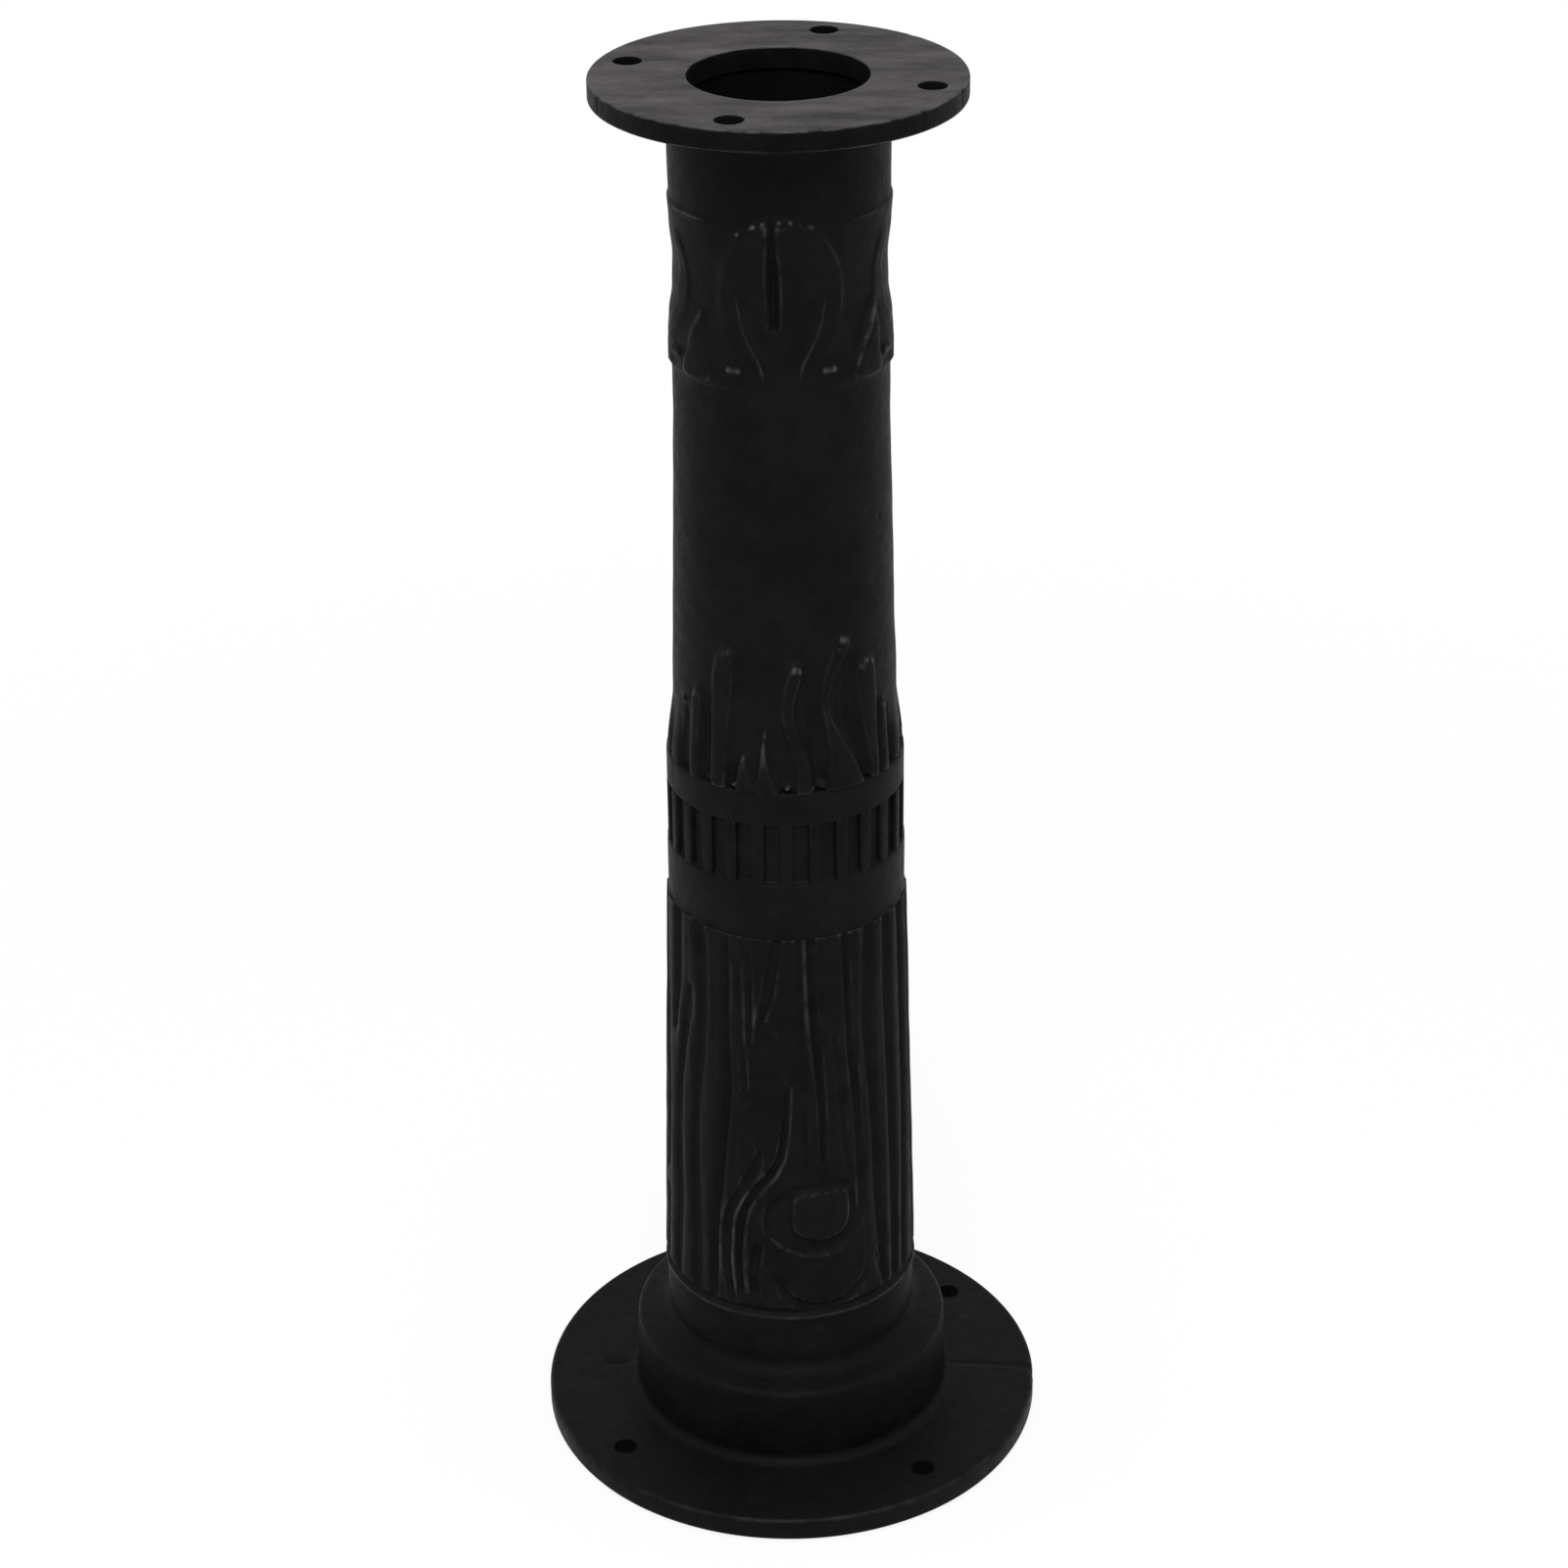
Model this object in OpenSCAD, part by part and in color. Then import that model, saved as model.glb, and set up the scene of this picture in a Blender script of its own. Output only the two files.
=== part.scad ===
// Cast-iron stand for a hand-operated well pump.
// The stand is bolted to a slab by its wide base flange and carries the pump on
// its top flange. The drop pipe runs down through the hollow middle.
// Origin: centre of the underside of the base. +Z is up and -Y is the front.
// The castings stack from the floor up: base, lower trunk, ribbed band, upper
// trunk and top flange. Each has a spigot that sits in the socket of its neighbour.

/* [Overall] */
// Height from the floor to the seat of the pump
stand_h = 660; // [520:5:900]
// Thickness of the trunk castings
wall = 6.5; // [5:0.5:9]

/* [Top flange] */
// Diameter of the hole through the top flange
bore_d = 75; // [50:1:100]
// How far the flange closes in over the hollow of the trunk
bore_lip = 2.2; // [1:0.1:4]
// How far the top flange reaches out past its hub
top_reach = 30.5; // [25:0.5:50]
// Thickness of the top flange
top_t = 9; // [7:0.5:14]
// Height of the hub under the top flange
hub_h = 10; // [8:0.5:16]
// How far the hub stands out past the neck
hub_ledge = 1.3; // [0.5:0.1:8]
// Distance from the rim of the top flange to its bolt circle
top_bolt_inset = 13; // [10:0.5:16]
// Diameter of each top bolt hole
top_hole_d = 11.5; // [8:0.5:14]
// Turn of the first top bolt hole from the +X axis
top_hole_turn = -17.5; // [-90:0.5:90]
// Number of bolt holes in each flange
bolt_count = 4; // [3:1:8]

/* [Upper trunk] */
// Height of the plain neck
neck_h = 28; // [15:1:40]
// Height of the carved capital below the neck
capital_h = 73; // [60:1:100]
// How much the radius grows from the neck down to the band
shaft_taper = 4.4; // [1:0.1:10]
// How far the arches, leaves and flames stand out from the trunk
relief_t = 1.5; // [0.8:0.1:2.4]
// Height of the tallest flame
flame_h = 70; // [40:1:90]
// Outer radius of each arch
arch_or = 26; // [20:1:30]
// Width of the arch between its two edges
arch_w = 10; // [6:0.5:12]

/* [Band] */
// Height of the ribbed band
band_h = 72; // [50:1:100]
// How far the band stands out past the foot of the upper trunk
band_ledge = 2.2; // [1:0.1:6]
// How much the radius of the band grows downwards
band_taper = 1; // [0:0.1:3]
// Height of the plain hoop above the ribs
upper_hoop_h = 16; // [10:1:20]
// Height of the plain hoop below the ribs
lower_hoop_h = 27; // [10:1:34]
// Number of upright ribs round the band
rib_count = 26; // [16:1:34]
// Width of each rib
rib_w = 5.6; // [3:0.2:7]
// Depth of the pockets between the ribs
rib_depth = 2.2; // [1:0.1:3.5]

/* [Lower trunk] */
// Height of the lower trunk above the collar
lower_h = 231; // [180:1:300]
// How far the top of the lower trunk stands out past the band
lower_ledge = 0.7; // [0:0.1:3]
// How much the radius of the lower trunk grows downwards
lower_taper = 5; // [1:0.1:10]
// Height of the plain foot ring below the grain
foot_ring_h = 30; // [15:1:45]
// Depth of the grain grooves
grain_depth = 1.8; // [0.8:0.1:2.6]
// Diameter of the round knot
knot_d = 27; // [18:1:34]
// Height of the knot above the collar
knot_h = 84; // [60:1:120]

/* [Base] */
// How far the collar stands out past the foot of the trunk
collar_ledge = 14; // [11:0.5:24]
// Height of the collar above the base flange
collar_h = 42; // [32:1:60]
// Thickness of the collar and of the socket ring inside it
collar_wall = 7.5; // [5:0.5:9]
// How far the base flange reaches out past the collar
base_reach = 44.5; // [35:0.5:70]
// Thickness of the base flange
base_t = 11; // [8:0.5:16]
// Distance from the rim of the base flange to its bolt circle
base_bolt_inset = 18; // [12:0.5:24]
// Diameter of each base bolt hole
base_hole_d = 10.5; // [8:0.5:14]
// Turn of the first base bolt hole from the +X axis
base_hole_turn = 37.5; // [0:0.5:90]

/* [Fits] */
// Radial gap between a spigot and its socket
fit_gap = 0.15; // [0.1:0.05:0.4]
// Free space past the end of each spigot
end_gap = 1; // [0.5:0.5:3]
// Width of the seat at the top of the neck
neck_seat_w = 2.95; // [2:0.05:4]
// Width of the seat of the upper trunk on the band
band_seat_w = 4.6; // [3:0.1:6]
// Width of the seat of the lower trunk on the collar
foot_seat_w = 7.5; // [5:0.1:10]
// Reach of the upper trunk's spigot below the band
joint_spigot_h = 20; // [12:1:40]
// Length of the spigot at the foot of the lower trunk
foot_spigot_h = 25; // [15:1:30]

/* [Hidden] */
$fn = 96;
eps = 0.01;
through = 1;

// Levels, from the floor up
collar_z = base_t + collar_h;
grain_z0 = collar_z + foot_ring_h;
lower_top_z = collar_z + lower_h;
band_top_z = lower_top_z + band_h;
plate_z = stand_h - top_t;
hub_z = plate_z - hub_h;
neck_z = hub_z - neck_h;
capital_z = neck_z - capital_h;

// Radii of the outside, from the bore of the flange outwards and down to the floor
bore_r = bore_d / 2;
hollow_r = bore_r + bore_lip;
neck_r = hollow_r + wall;
shaft_foot_r = neck_r + shaft_taper;
band_top_r = shaft_foot_r + band_ledge;
band_foot_r = band_top_r + band_taper;
lower_top_r = band_foot_r + lower_ledge;
lower_foot_r = lower_top_r + lower_taper;
collar_r = lower_foot_r + collar_ledge;
base_r = collar_r + base_reach;
hub_r = neck_r + hub_ledge;
top_r = hub_r + top_reach;

// Radii of the spigots
neck_spigot_r = neck_r - neck_seat_w;
joint_spigot_r = shaft_foot_r - band_seat_w;
foot_spigot_r = lower_foot_r - foot_seat_w;

// Small shapes
edge_r = 2;
collar_edge_r = 5;
collar_fillet_r = 4;
ledge = 1.5;
curve_steps = 8;

// Points of an arc round [cx, cz] from angle a0 to angle a1
function arc(cx, cz, r, a0, a1, n = curve_steps) =
    [for (i = [0:n]) let (a = a0 + (a1 - a0) * i / n) [cx + r * cos(a), cz + r * sin(a)]];

// A smooth run of radii from r0 at z0 to r1 at z1
function swell(r0, z0, r1, z1, n = curve_steps) =
    [for (i = [0:n]) let (t = i / n) [r0 + (r1 - r0) * (1 - cos(180 * t)) / 2, z0 + (z1 - z0) * t]];

module revolve(points) {
    rotate_extrude() polygon(points);
}

module bolt_holes(circle_r, hole_d, turn, z, t) {
    for (i = [0:bolt_count - 1])
        rotate([0, 0, turn + i * 360 / bolt_count])
            translate([circle_r, 0, z - through])
                cylinder(d = hole_d, h = t + 2 * through);
}

// ---------------------------------------------------------------- base
module base() {
    socket_r = foot_spigot_r + fit_gap;
    boss_r = socket_r + collar_wall;
    pocket_r = collar_r - collar_wall;
    pocket_z = collar_z - collar_wall;
    pocket_edge = min(edge_r, (pocket_r - boss_r) / 3);
    socket_floor = collar_z - foot_spigot_h - end_gap;
    color([0.09, 0.09, 0.09])
        difference() {
            revolve(concat(
                [[pocket_r, 0]],
                arc(base_r - edge_r, edge_r, edge_r, -90, 0),
                arc(base_r - edge_r, base_t - edge_r, edge_r, 0, 90),
                arc(collar_r + collar_fillet_r, base_t + collar_fillet_r, collar_fillet_r, 270, 180),
                arc(collar_r - collar_edge_r, collar_z - collar_edge_r, collar_edge_r, 0, 90),
                [[socket_r, collar_z], [socket_r, socket_floor],
                 [boss_r, socket_floor], [boss_r, pocket_z - pocket_edge],
                 [boss_r + pocket_edge, pocket_z], [pocket_r - pocket_edge, pocket_z],
                 [pocket_r, pocket_z - pocket_edge]]));
            bolt_holes(base_r - base_bolt_inset, base_hole_d, base_hole_turn, 0, base_t);
        }
}

// ---------------------------------------------------------------- lower trunk
grain_lean = atan((lower_foot_r - lower_top_r) / (lower_top_z - grain_z0));

function lower_r(z) = z < grain_z0 ? lower_foot_r
    : lower_foot_r - (lower_foot_r - lower_top_r) * (z - grain_z0) / (lower_top_z - grain_z0);

// One groove of the wood grain. Its ends are shares of the height of the grain
module grain_groove(turn, from, to, w) {
    grain_h = lower_top_z - grain_z0;
    z0 = grain_z0 + grain_h * from;
    rotate([0, 0, turn])
        translate([lower_r(z0) - grain_depth, -w / 2, z0])
            rotate([0, -grain_lean, 0])
                cube([4 * grain_depth, w, grain_h * (to - from) + (to == 1 ? ledge : 0)]);
}

// The moat round a raised disc, as where a branch was cut off
module knot_moat(turn, z) {
    rotate([0, 0, turn])
        translate([lower_r(z) - grain_depth, 0, z])
            rotate([0, 90, 0])
                difference() {
                    cylinder(d = knot_d + 2 * knot_moat_w, h = knot_d);
                    translate([0, 0, -through])
                        cylinder(d = knot_d, h = knot_d + 2 * through);
                }
}

// Turn from the front, lower end, upper end and width of each groove in one half
grain = [[-82, 0, 1, 5], [-64, 0, 0.62, 5], [-48, 0, 1, 6], [-35, 0.1, 1, 5], [-20, 0.32, 0.9, 4],
         [-7, 0.45, 0.95, 4], [6, 0.44, 1, 4], [17, 0.5, 0.84, 4], [30, 0.5, 1, 4],
         [43, 0.12, 1, 5], [56, 0, 1, 6], [69, 0, 1, 5]];
knot_turn = 15;
knot_z = collar_z + knot_h;
knot_moat_w = 4;

module lower_trunk() {
    socket_r = joint_spigot_r + fit_gap;
    socket_floor = lower_top_z - joint_spigot_h - end_gap;
    spigot_bore = foot_spigot_r - wall;
    foot_bore = lower_foot_r - wall;
    top_bore = lower_r(socket_floor) - wall - 1;
    color([0.1, 0.1, 0.1])
        difference() {
            revolve([
                [spigot_bore, collar_z - foot_spigot_h],
                [foot_spigot_r, collar_z - foot_spigot_h],
                [foot_spigot_r, collar_z],
                [lower_foot_r, collar_z],
                [lower_foot_r, grain_z0],
                [lower_top_r, lower_top_z],
                [socket_r, lower_top_z],
                [socket_r, socket_floor],
                [top_bore, socket_floor - 2 * ledge],
                [foot_bore, grain_z0],
                [foot_bore, collar_z + 2 * wall],
                [spigot_bore, collar_z]]);
            for (half = [0, 180])
                rotate([0, 0, half - 90]) {
                    for (g = grain)
                        grain_groove(g[0], g[1], g[2], g[3]);
                    knot_moat(knot_turn, knot_z);
                }
        }
}

// ---------------------------------------------------------------- ribbed band
function band_r(z) = band_foot_r - band_taper * (z - lower_top_z) / band_h;

module ribbed_band() {
    bore = joint_spigot_r + fit_gap;
    pocket_z0 = lower_top_z + lower_hoop_h;
    pocket_z1 = band_top_z - upper_hoop_h;
    pocket_w = 2 * PI * band_r(pocket_z0) / rib_count - rib_w;
    color([0.11, 0.11, 0.11])
        difference() {
            revolve([
                [bore, lower_top_z],
                [band_foot_r, lower_top_z],
                [band_top_r, band_top_z],
                [bore, band_top_z]]);
            for (i = [0:rib_count - 1])
                rotate([0, 0, (i + 0.5) * 360 / rib_count - 90])
                    translate([band_r(pocket_z1) - rib_depth, -pocket_w / 2, pocket_z0])
                        cube([rib_depth * 4, pocket_w, pocket_z1 - pocket_z0]);
        }
}

// ---------------------------------------------------------------- upper trunk
taper_top_z = band_top_z + (capital_z - band_top_z) * 0.86;

function shaft_r(z) = z > taper_top_z ? neck_r
    : shaft_foot_r - shaft_taper * (z - band_top_z) / (taper_top_z - band_top_z);

// Turn, width and share of the full height of each flame in one half of the trunk
flames = [[-83, 6, 0.39], [-66, 6, 0.66], [-49, 5, 0.59], [-33, 9, 0.93], [-20, 6, 0.21],
          [-9, 6, 0.4], [7, 6, 0.84], [27, 8, 1], [45, 8, 0.81], [58, 5, 0.46], [74, 6, 0.71]];

// The capital swells at its foot, narrows to a waist and opens again under the neck
capital_swell = 1.2;
waist_dip = 1.1;
capital_flare = 0.6;
swell_z = capital_z + capital_h * 0.12;
waist_z = neck_z - capital_h * 0.42;
arch_count = 4;
arch_z = neck_z - arch_or - 2;
leaf_r = 8;
leaf_z = swell_z + leaf_r;

function capital_curve(offset) = concat(
    swell(neck_r + capital_swell + offset, swell_z, neck_r - waist_dip + offset, waist_z),
    swell(neck_r - waist_dip + offset, waist_z + eps, neck_r + capital_flare + offset, neck_z - ledge));

module radial_bar(turn, z0, h, w) {
    rotate([0, 0, turn]) {
        translate([hollow_r, -w / 2, z0])
            cube([neck_r, w, h - w / 2]);
        translate([hollow_r, 0, z0 + h - w / 2])
            rotate([0, 90, 0])
                cylinder(d = w, h = neck_r);
    }
}

module flame_ring() {
    top_z = band_top_z + flame_h + relief_t;
    inset = wall / 2;
    intersection() {
        revolve([
            [shaft_foot_r - inset, band_top_z], [shaft_foot_r + relief_t, band_top_z],
            [shaft_r(top_z) + relief_t, top_z], [shaft_r(top_z) - inset, top_z]]);
        for (half = [0, 180])
            for (f = flames)
                radial_bar(half + f[0] - 90, band_top_z, flame_h * f[2], f[1]);
    }
}

module arch_ring() {
    intersection() {
        revolve(concat([[hollow_r + wall / 2, swell_z]], capital_curve(relief_t),
            [[hollow_r + wall / 2, neck_z - ledge]]));
        for (i = [0:arch_count - 1]) {
            rotate([0, 0, i * 360 / arch_count - 90])
                translate([hollow_r, 0, arch_z])
                    rotate([0, 90, 0])
                        difference() {
                            cylinder(r = arch_or, h = neck_r);
                            translate([0, 0, -through])
                                cylinder(r = arch_or - arch_w, h = neck_r + 2 * through);
                        }
            rotate([0, 0, (i + 0.5) * 360 / arch_count - 90])
                translate([hollow_r, 0, leaf_z])
                    rotate([0, 90, 0])
                        cylinder(r = leaf_r, h = neck_r);
        }
    }
}

module upper_trunk() {
    foot_hollow_r = shaft_foot_r - wall;
    spigot_hollow_r = joint_spigot_r - wall;
    spigot_end = lower_top_z - joint_spigot_h;
    neck_end = plate_z - end_gap;
    color([0.1, 0.1, 0.1])
        union() {
            revolve(concat(
                [[spigot_hollow_r, spigot_end], [joint_spigot_r, spigot_end],
                 [joint_spigot_r, band_top_z], [shaft_foot_r, band_top_z],
                 [neck_r, taper_top_z], [neck_r, capital_z],
                 [neck_r + capital_swell, capital_z + ledge]],
                capital_curve(0),
                [[neck_r, neck_z], [neck_r, hub_z], [neck_spigot_r, hub_z],
                 [neck_spigot_r, neck_end], [hollow_r, neck_end],
                 [hollow_r, taper_top_z], [foot_hollow_r, band_top_z + 2 * wall],
                 [spigot_hollow_r, band_top_z]]));
            flame_ring();
            arch_ring();
        }
}

// ---------------------------------------------------------------- top flange
module top_flange() {
    socket_r = neck_spigot_r + fit_gap;
    rim_r = edge_r / 2;
    color([0.13, 0.12, 0.12])
        difference() {
            revolve(concat(
                [[bore_r, plate_z], [socket_r, plate_z], [socket_r, hub_z], [hub_r, hub_z]],
                arc(hub_r + edge_r, plate_z - edge_r, edge_r, 180, 90),
                arc(top_r - rim_r, plate_z + rim_r, rim_r, -90, 0),
                arc(top_r - rim_r, stand_h - rim_r, rim_r, 0, 90),
                [[bore_r, stand_h]]));
            bolt_holes(top_r - top_bolt_inset, top_hole_d, top_hole_turn, plate_z, top_t);
        }
}

base();
lower_trunk();
ribbed_band();
upper_trunk();
top_flange();
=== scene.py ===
# %% [markdown]
# # A cast-iron pump stand
# A hand pump is bolted to the top of this stand, and the stand is bolted to a slab over the well.
# The foundry cast its column as a tree trunk: arches and leaves under the neck, flame-like bark
# above a ribbed band, and wood grain with a knot below it. The engineering model already fixes every
# size. This script gives each casting its carved surface and its black paint.

# %% Load the frame
import math

import bmesh
import bpy
import numpy as np
from mathutils import Matrix, Vector


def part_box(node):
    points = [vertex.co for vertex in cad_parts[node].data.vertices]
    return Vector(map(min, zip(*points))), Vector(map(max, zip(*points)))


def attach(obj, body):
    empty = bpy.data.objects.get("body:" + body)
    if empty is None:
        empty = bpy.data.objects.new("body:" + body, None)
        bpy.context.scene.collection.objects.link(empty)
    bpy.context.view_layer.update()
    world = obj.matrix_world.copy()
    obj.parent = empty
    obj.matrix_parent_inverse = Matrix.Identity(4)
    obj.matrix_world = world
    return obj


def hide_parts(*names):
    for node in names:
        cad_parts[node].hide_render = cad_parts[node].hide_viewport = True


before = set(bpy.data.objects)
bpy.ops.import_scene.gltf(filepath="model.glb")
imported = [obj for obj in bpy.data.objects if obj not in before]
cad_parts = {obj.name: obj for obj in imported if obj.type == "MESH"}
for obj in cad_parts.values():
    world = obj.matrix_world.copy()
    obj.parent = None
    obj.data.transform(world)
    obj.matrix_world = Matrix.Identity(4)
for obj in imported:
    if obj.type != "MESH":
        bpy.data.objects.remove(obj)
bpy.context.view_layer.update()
MM = 0.001
print("castings in the frame:", sorted(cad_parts))

# %% [markdown]
# ## Levels and radii
# The castings stack on one another, so the frame's boxes give every level. Reading them here, and
# not writing them again, keeps each surface on its casting when a size changes.

# %% Measure the castings
base_low, base_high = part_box("base")
lower_low, lower_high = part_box("lower_trunk")
band_low, band_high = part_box("ribbed_band")
upper_low, upper_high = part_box("upper_trunk")
flange_low, flange_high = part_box("top_flange")

collar_z = base_high.z
band_foot_z = band_low.z
band_top_z = band_high.z
hub_z = flange_low.z
stand_h = flange_high.z
print(f"collar {collar_z:.3f}, band {band_foot_z:.3f} to {band_top_z:.3f}, top {stand_h:.3f} m")

# %% [markdown]
# ## Floor, light and camera
# A plain pale floor and a soft white surround suit a black object, because black paint shows little
# colour of its own: what is seen on it is mostly what it reflects. The floor and the surround look
# white to the camera and in reflections, and the lamps stay modest.

# %% White surround
world = bpy.data.worlds.new("surround")
bpy.context.scene.world = world
world.use_nodes = True
tree = world.node_tree
tree.nodes.clear()
seen = tree.nodes.new("ShaderNodeLightPath")
either = tree.nodes.new("ShaderNodeMath")
either.operation = "MAXIMUM"
any_of = tree.nodes.new("ShaderNodeMath")
any_of.operation = "MAXIMUM"
lit = tree.nodes.new("ShaderNodeBackground")
lit.inputs["Strength"].default_value = 0.45
white = tree.nodes.new("ShaderNodeBackground")
white.inputs["Color"].default_value = (1, 1, 1, 1)
white.inputs["Strength"].default_value = 1.0
pick = tree.nodes.new("ShaderNodeMixShader")
out = tree.nodes.new("ShaderNodeOutputWorld")
tree.links.new(seen.outputs["Is Camera Ray"], either.inputs[0])
tree.links.new(seen.outputs["Is Glossy Ray"], either.inputs[1])
tree.links.new(either.outputs[0], any_of.inputs[0])
tree.links.new(seen.outputs["Is Transmission Ray"], any_of.inputs[1])
tree.links.new(any_of.outputs[0], pick.inputs["Fac"])
tree.links.new(lit.outputs[0], pick.inputs[1])
tree.links.new(white.outputs[0], pick.inputs[2])
tree.links.new(pick.outputs[0], out.inputs["Surface"])
lit.inputs["Color"].default_value = (0.98, 0.99, 1.0, 1)
bpy.context.scene.view_settings.view_transform = "Standard"
print("surround is white to the camera and in reflections")

# %% Pale floor
floor_mesh = bpy.data.meshes.new("floor")
reach = 30
floor_mesh.from_pydata(
    [(-reach, -reach, 0), (reach, -reach, 0), (reach, reach, 0), (-reach, reach, 0)], [], [(0, 1, 2, 3)]
)
floor = bpy.data.objects.new("floor", floor_mesh)
bpy.context.scene.collection.objects.link(floor)
floor.location.z = -0.0004
floor_paint = bpy.data.materials.new("pale_floor")
floor_paint.use_nodes = True
tree = floor_paint.node_tree
tree.nodes.clear()
seen = tree.nodes.new("ShaderNodeLightPath")
either = tree.nodes.new("ShaderNodeMath")
either.operation = "MAXIMUM"
any_of = tree.nodes.new("ShaderNodeMath")
any_of.operation = "MAXIMUM"
spot = tree.nodes.new("ShaderNodeTexCoord")
away = tree.nodes.new("ShaderNodeVectorMath")
away.operation = "LENGTH"
fade = tree.nodes.new("ShaderNodeMapRange")
fade.inputs["From Min"].default_value = 0.25
fade.inputs["From Max"].default_value = 1.1
fade.inputs["To Min"].default_value = 0.87
fade.inputs["To Max"].default_value = 0.995
share = tree.nodes.new("ShaderNodeMath")
share.operation = "MULTIPLY"
matt = tree.nodes.new("ShaderNodeBsdfDiffuse")
matt.inputs["Color"].default_value = (0.93, 0.93, 0.93, 1)
glow = tree.nodes.new("ShaderNodeEmission")
glow.inputs["Strength"].default_value = 1.0
blend = tree.nodes.new("ShaderNodeMixShader")
out = tree.nodes.new("ShaderNodeOutputMaterial")
tree.links.new(seen.outputs["Is Camera Ray"], either.inputs[0])
tree.links.new(seen.outputs["Is Glossy Ray"], either.inputs[1])
tree.links.new(either.outputs[0], any_of.inputs[0])
tree.links.new(seen.outputs["Is Transmission Ray"], any_of.inputs[1])
tree.links.new(spot.outputs["Object"], away.inputs[0])
tree.links.new(away.outputs["Value"], fade.inputs["Value"])
tree.links.new(any_of.outputs[0], share.inputs[0])
tree.links.new(fade.outputs["Result"], share.inputs[1])
tree.links.new(share.outputs[0], blend.inputs["Fac"])
tree.links.new(matt.outputs[0], blend.inputs[1])
tree.links.new(glow.outputs[0], blend.inputs[2])
tree.links.new(blend.outputs[0], out.inputs["Surface"])
floor_mesh.materials.append(floor_paint)
print("floor is", 2 * reach, "m square")


# %% Soft lamps
def softbox(name, place, aim, size, watts):
    """A square area lamp at place that shines towards aim."""
    lamp = bpy.data.lights.new(name, "AREA")
    lamp.shape = "SQUARE"
    lamp.size = size
    lamp.energy = watts
    holder = bpy.data.objects.new(name, lamp)
    bpy.context.scene.collection.objects.link(holder)
    holder.location = place
    holder.rotation_euler = (Vector(aim) - Vector(place)).to_track_quat("-Z", "Y").to_euler()
    return holder


softbox("overhead_box", (0, -0.1, 2.4), (0, 0, 0.3), 0.8, 20)
softbox("front_box", (-0.12, -1.55, 2.1), (0, 0, 0.35), 0.9, 28)
softbox("left_box", (-1.9, 0.5, 1.3), (0, 0, 0.35), 0.8, 1.2)
softbox("right_box", (1.9, 0.3, 1.2), (0, 0, 0.35), 0.8, 1.8)

# %% [markdown]
# A camera looks along its own -Z, so its matrix has three columns: right, up and back. Building
# them from a pitch and a small roll is clearer than guessing three Euler angles.

# %% Camera
camera_data = bpy.data.cameras.new("camera")
camera_data.lens = 82.9
camera_data.sensor_width = 36
camera_data.clip_end = 100
camera = bpy.data.objects.new("camera", camera_data)
bpy.context.scene.collection.objects.link(camera)
pitch = math.radians(27.78)
roll = math.radians(-0.61)
yaw = math.radians(0.044)
forward = Vector((math.sin(yaw) * math.cos(pitch), math.cos(yaw) * math.cos(pitch), -math.sin(pitch)))
level_right = Vector((math.cos(yaw), -math.sin(yaw), 0))
level_up = level_right.cross(forward)
right = math.cos(roll) * level_right + math.sin(roll) * level_up
up = math.cos(roll) * level_up - math.sin(roll) * level_right
turn = Matrix((right, up, -forward)).transposed().to_4x4()
camera.matrix_world = Matrix.Translation((-0.0018, -1.4323, 1.0881)) @ turn
bpy.context.scene.camera = camera
print("camera pitch", round(math.degrees(pitch), 2), "lens", camera_data.lens)

# %% [markdown]
# ## Carving on a turned surface
# Both trunk castings are turned shapes with a shallow carving on them. A carving could be modelled
# face by face, but the foundry's pattern maker worked the other way: a smooth trunk first, then
# gouges and pads. So a sheet of heights is laid over the trunk, one number for each degree and
# millimetre, and every gouge or pad is drawn on the sheet before the skin is made. Places are given
# as a turn from the front in degrees and a level in millimetres.
#
# The pattern fills a half turn and then comes again, as a two-part mould would give it. A stroke near
# the edge of the sheet is therefore drawn again a half turn away.


# %% A sheet of heights
class Sheet:
    """Heights in millimetres over turn (degrees, one half of the trunk) and level (millimetres)."""

    def __init__(self, levels, columns, radius):
        self.turns = np.linspace(-90, 90, columns, endpoint=False)
        self.levels = np.asarray(levels, float)
        self.across = np.radians(self.turns)[None, :] * radius
        self.up = self.levels[:, None]
        self.radius = radius
        self.height = np.zeros((len(self.levels), columns))

    def flat(self, points):
        """Turn and level to millimetres on the unrolled sheet."""
        return [(math.radians(p[0]) * self.radius, p[1], *p[2:]) for p in points]

    def lower(self, depth):
        self.height = np.minimum(self.height, -depth)

    def raise_to(self, rise):
        self.height = np.maximum(self.height, rise)

    def lump(self, mask, rise):
        """Lifts towards a height where the mask is, and leaves all else as it was."""
        self.height = np.maximum(self.height, self.height * (1 - mask) + rise * mask)

    def set_to(self, mask, height):
        self.height = self.height * (1 - mask) + height * mask

    def soften(self):
        """Takes the steps of the grid out of slanting edges, as sand and paint round them."""
        h = 0.5 * self.height + 0.25 * (np.roll(self.height, 1, 1) + np.roll(self.height, -1, 1))
        h[1:-1] = 0.5 * h[1:-1] + 0.25 * (h[:-2] + h[2:])
        self.height = h


def ease(x):
    x = np.clip(x, 0, 1)
    return x * x * (3 - 2 * x)


def bend(points, steps=5, closed=False):
    """A smooth run through given points (Catmull-Rom)."""
    points = np.asarray(points, float)
    if len(points) < 3:
        return points
    ends = [points[-1:], points, points[:2]] if closed else [points[:1], points, points[-1:]]
    padded = np.concatenate(ends)
    t = np.linspace(0, 1, steps, endpoint=False)[:, None]
    runs = []
    for i in range(len(padded) - 3):
        a, b, c, d = padded[i : i + 4]
        bow = (2 * a - 5 * b + 4 * c - d) * t**2 + (3 * b - a - 3 * c + d) * t**3
        runs.append(0.5 * (2 * b + (c - a) * t + bow))
    if not closed:
        runs.append(points[-1:])
    return np.concatenate(runs)


print("a sheet is lowered by gouges and raised by pads")

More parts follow.
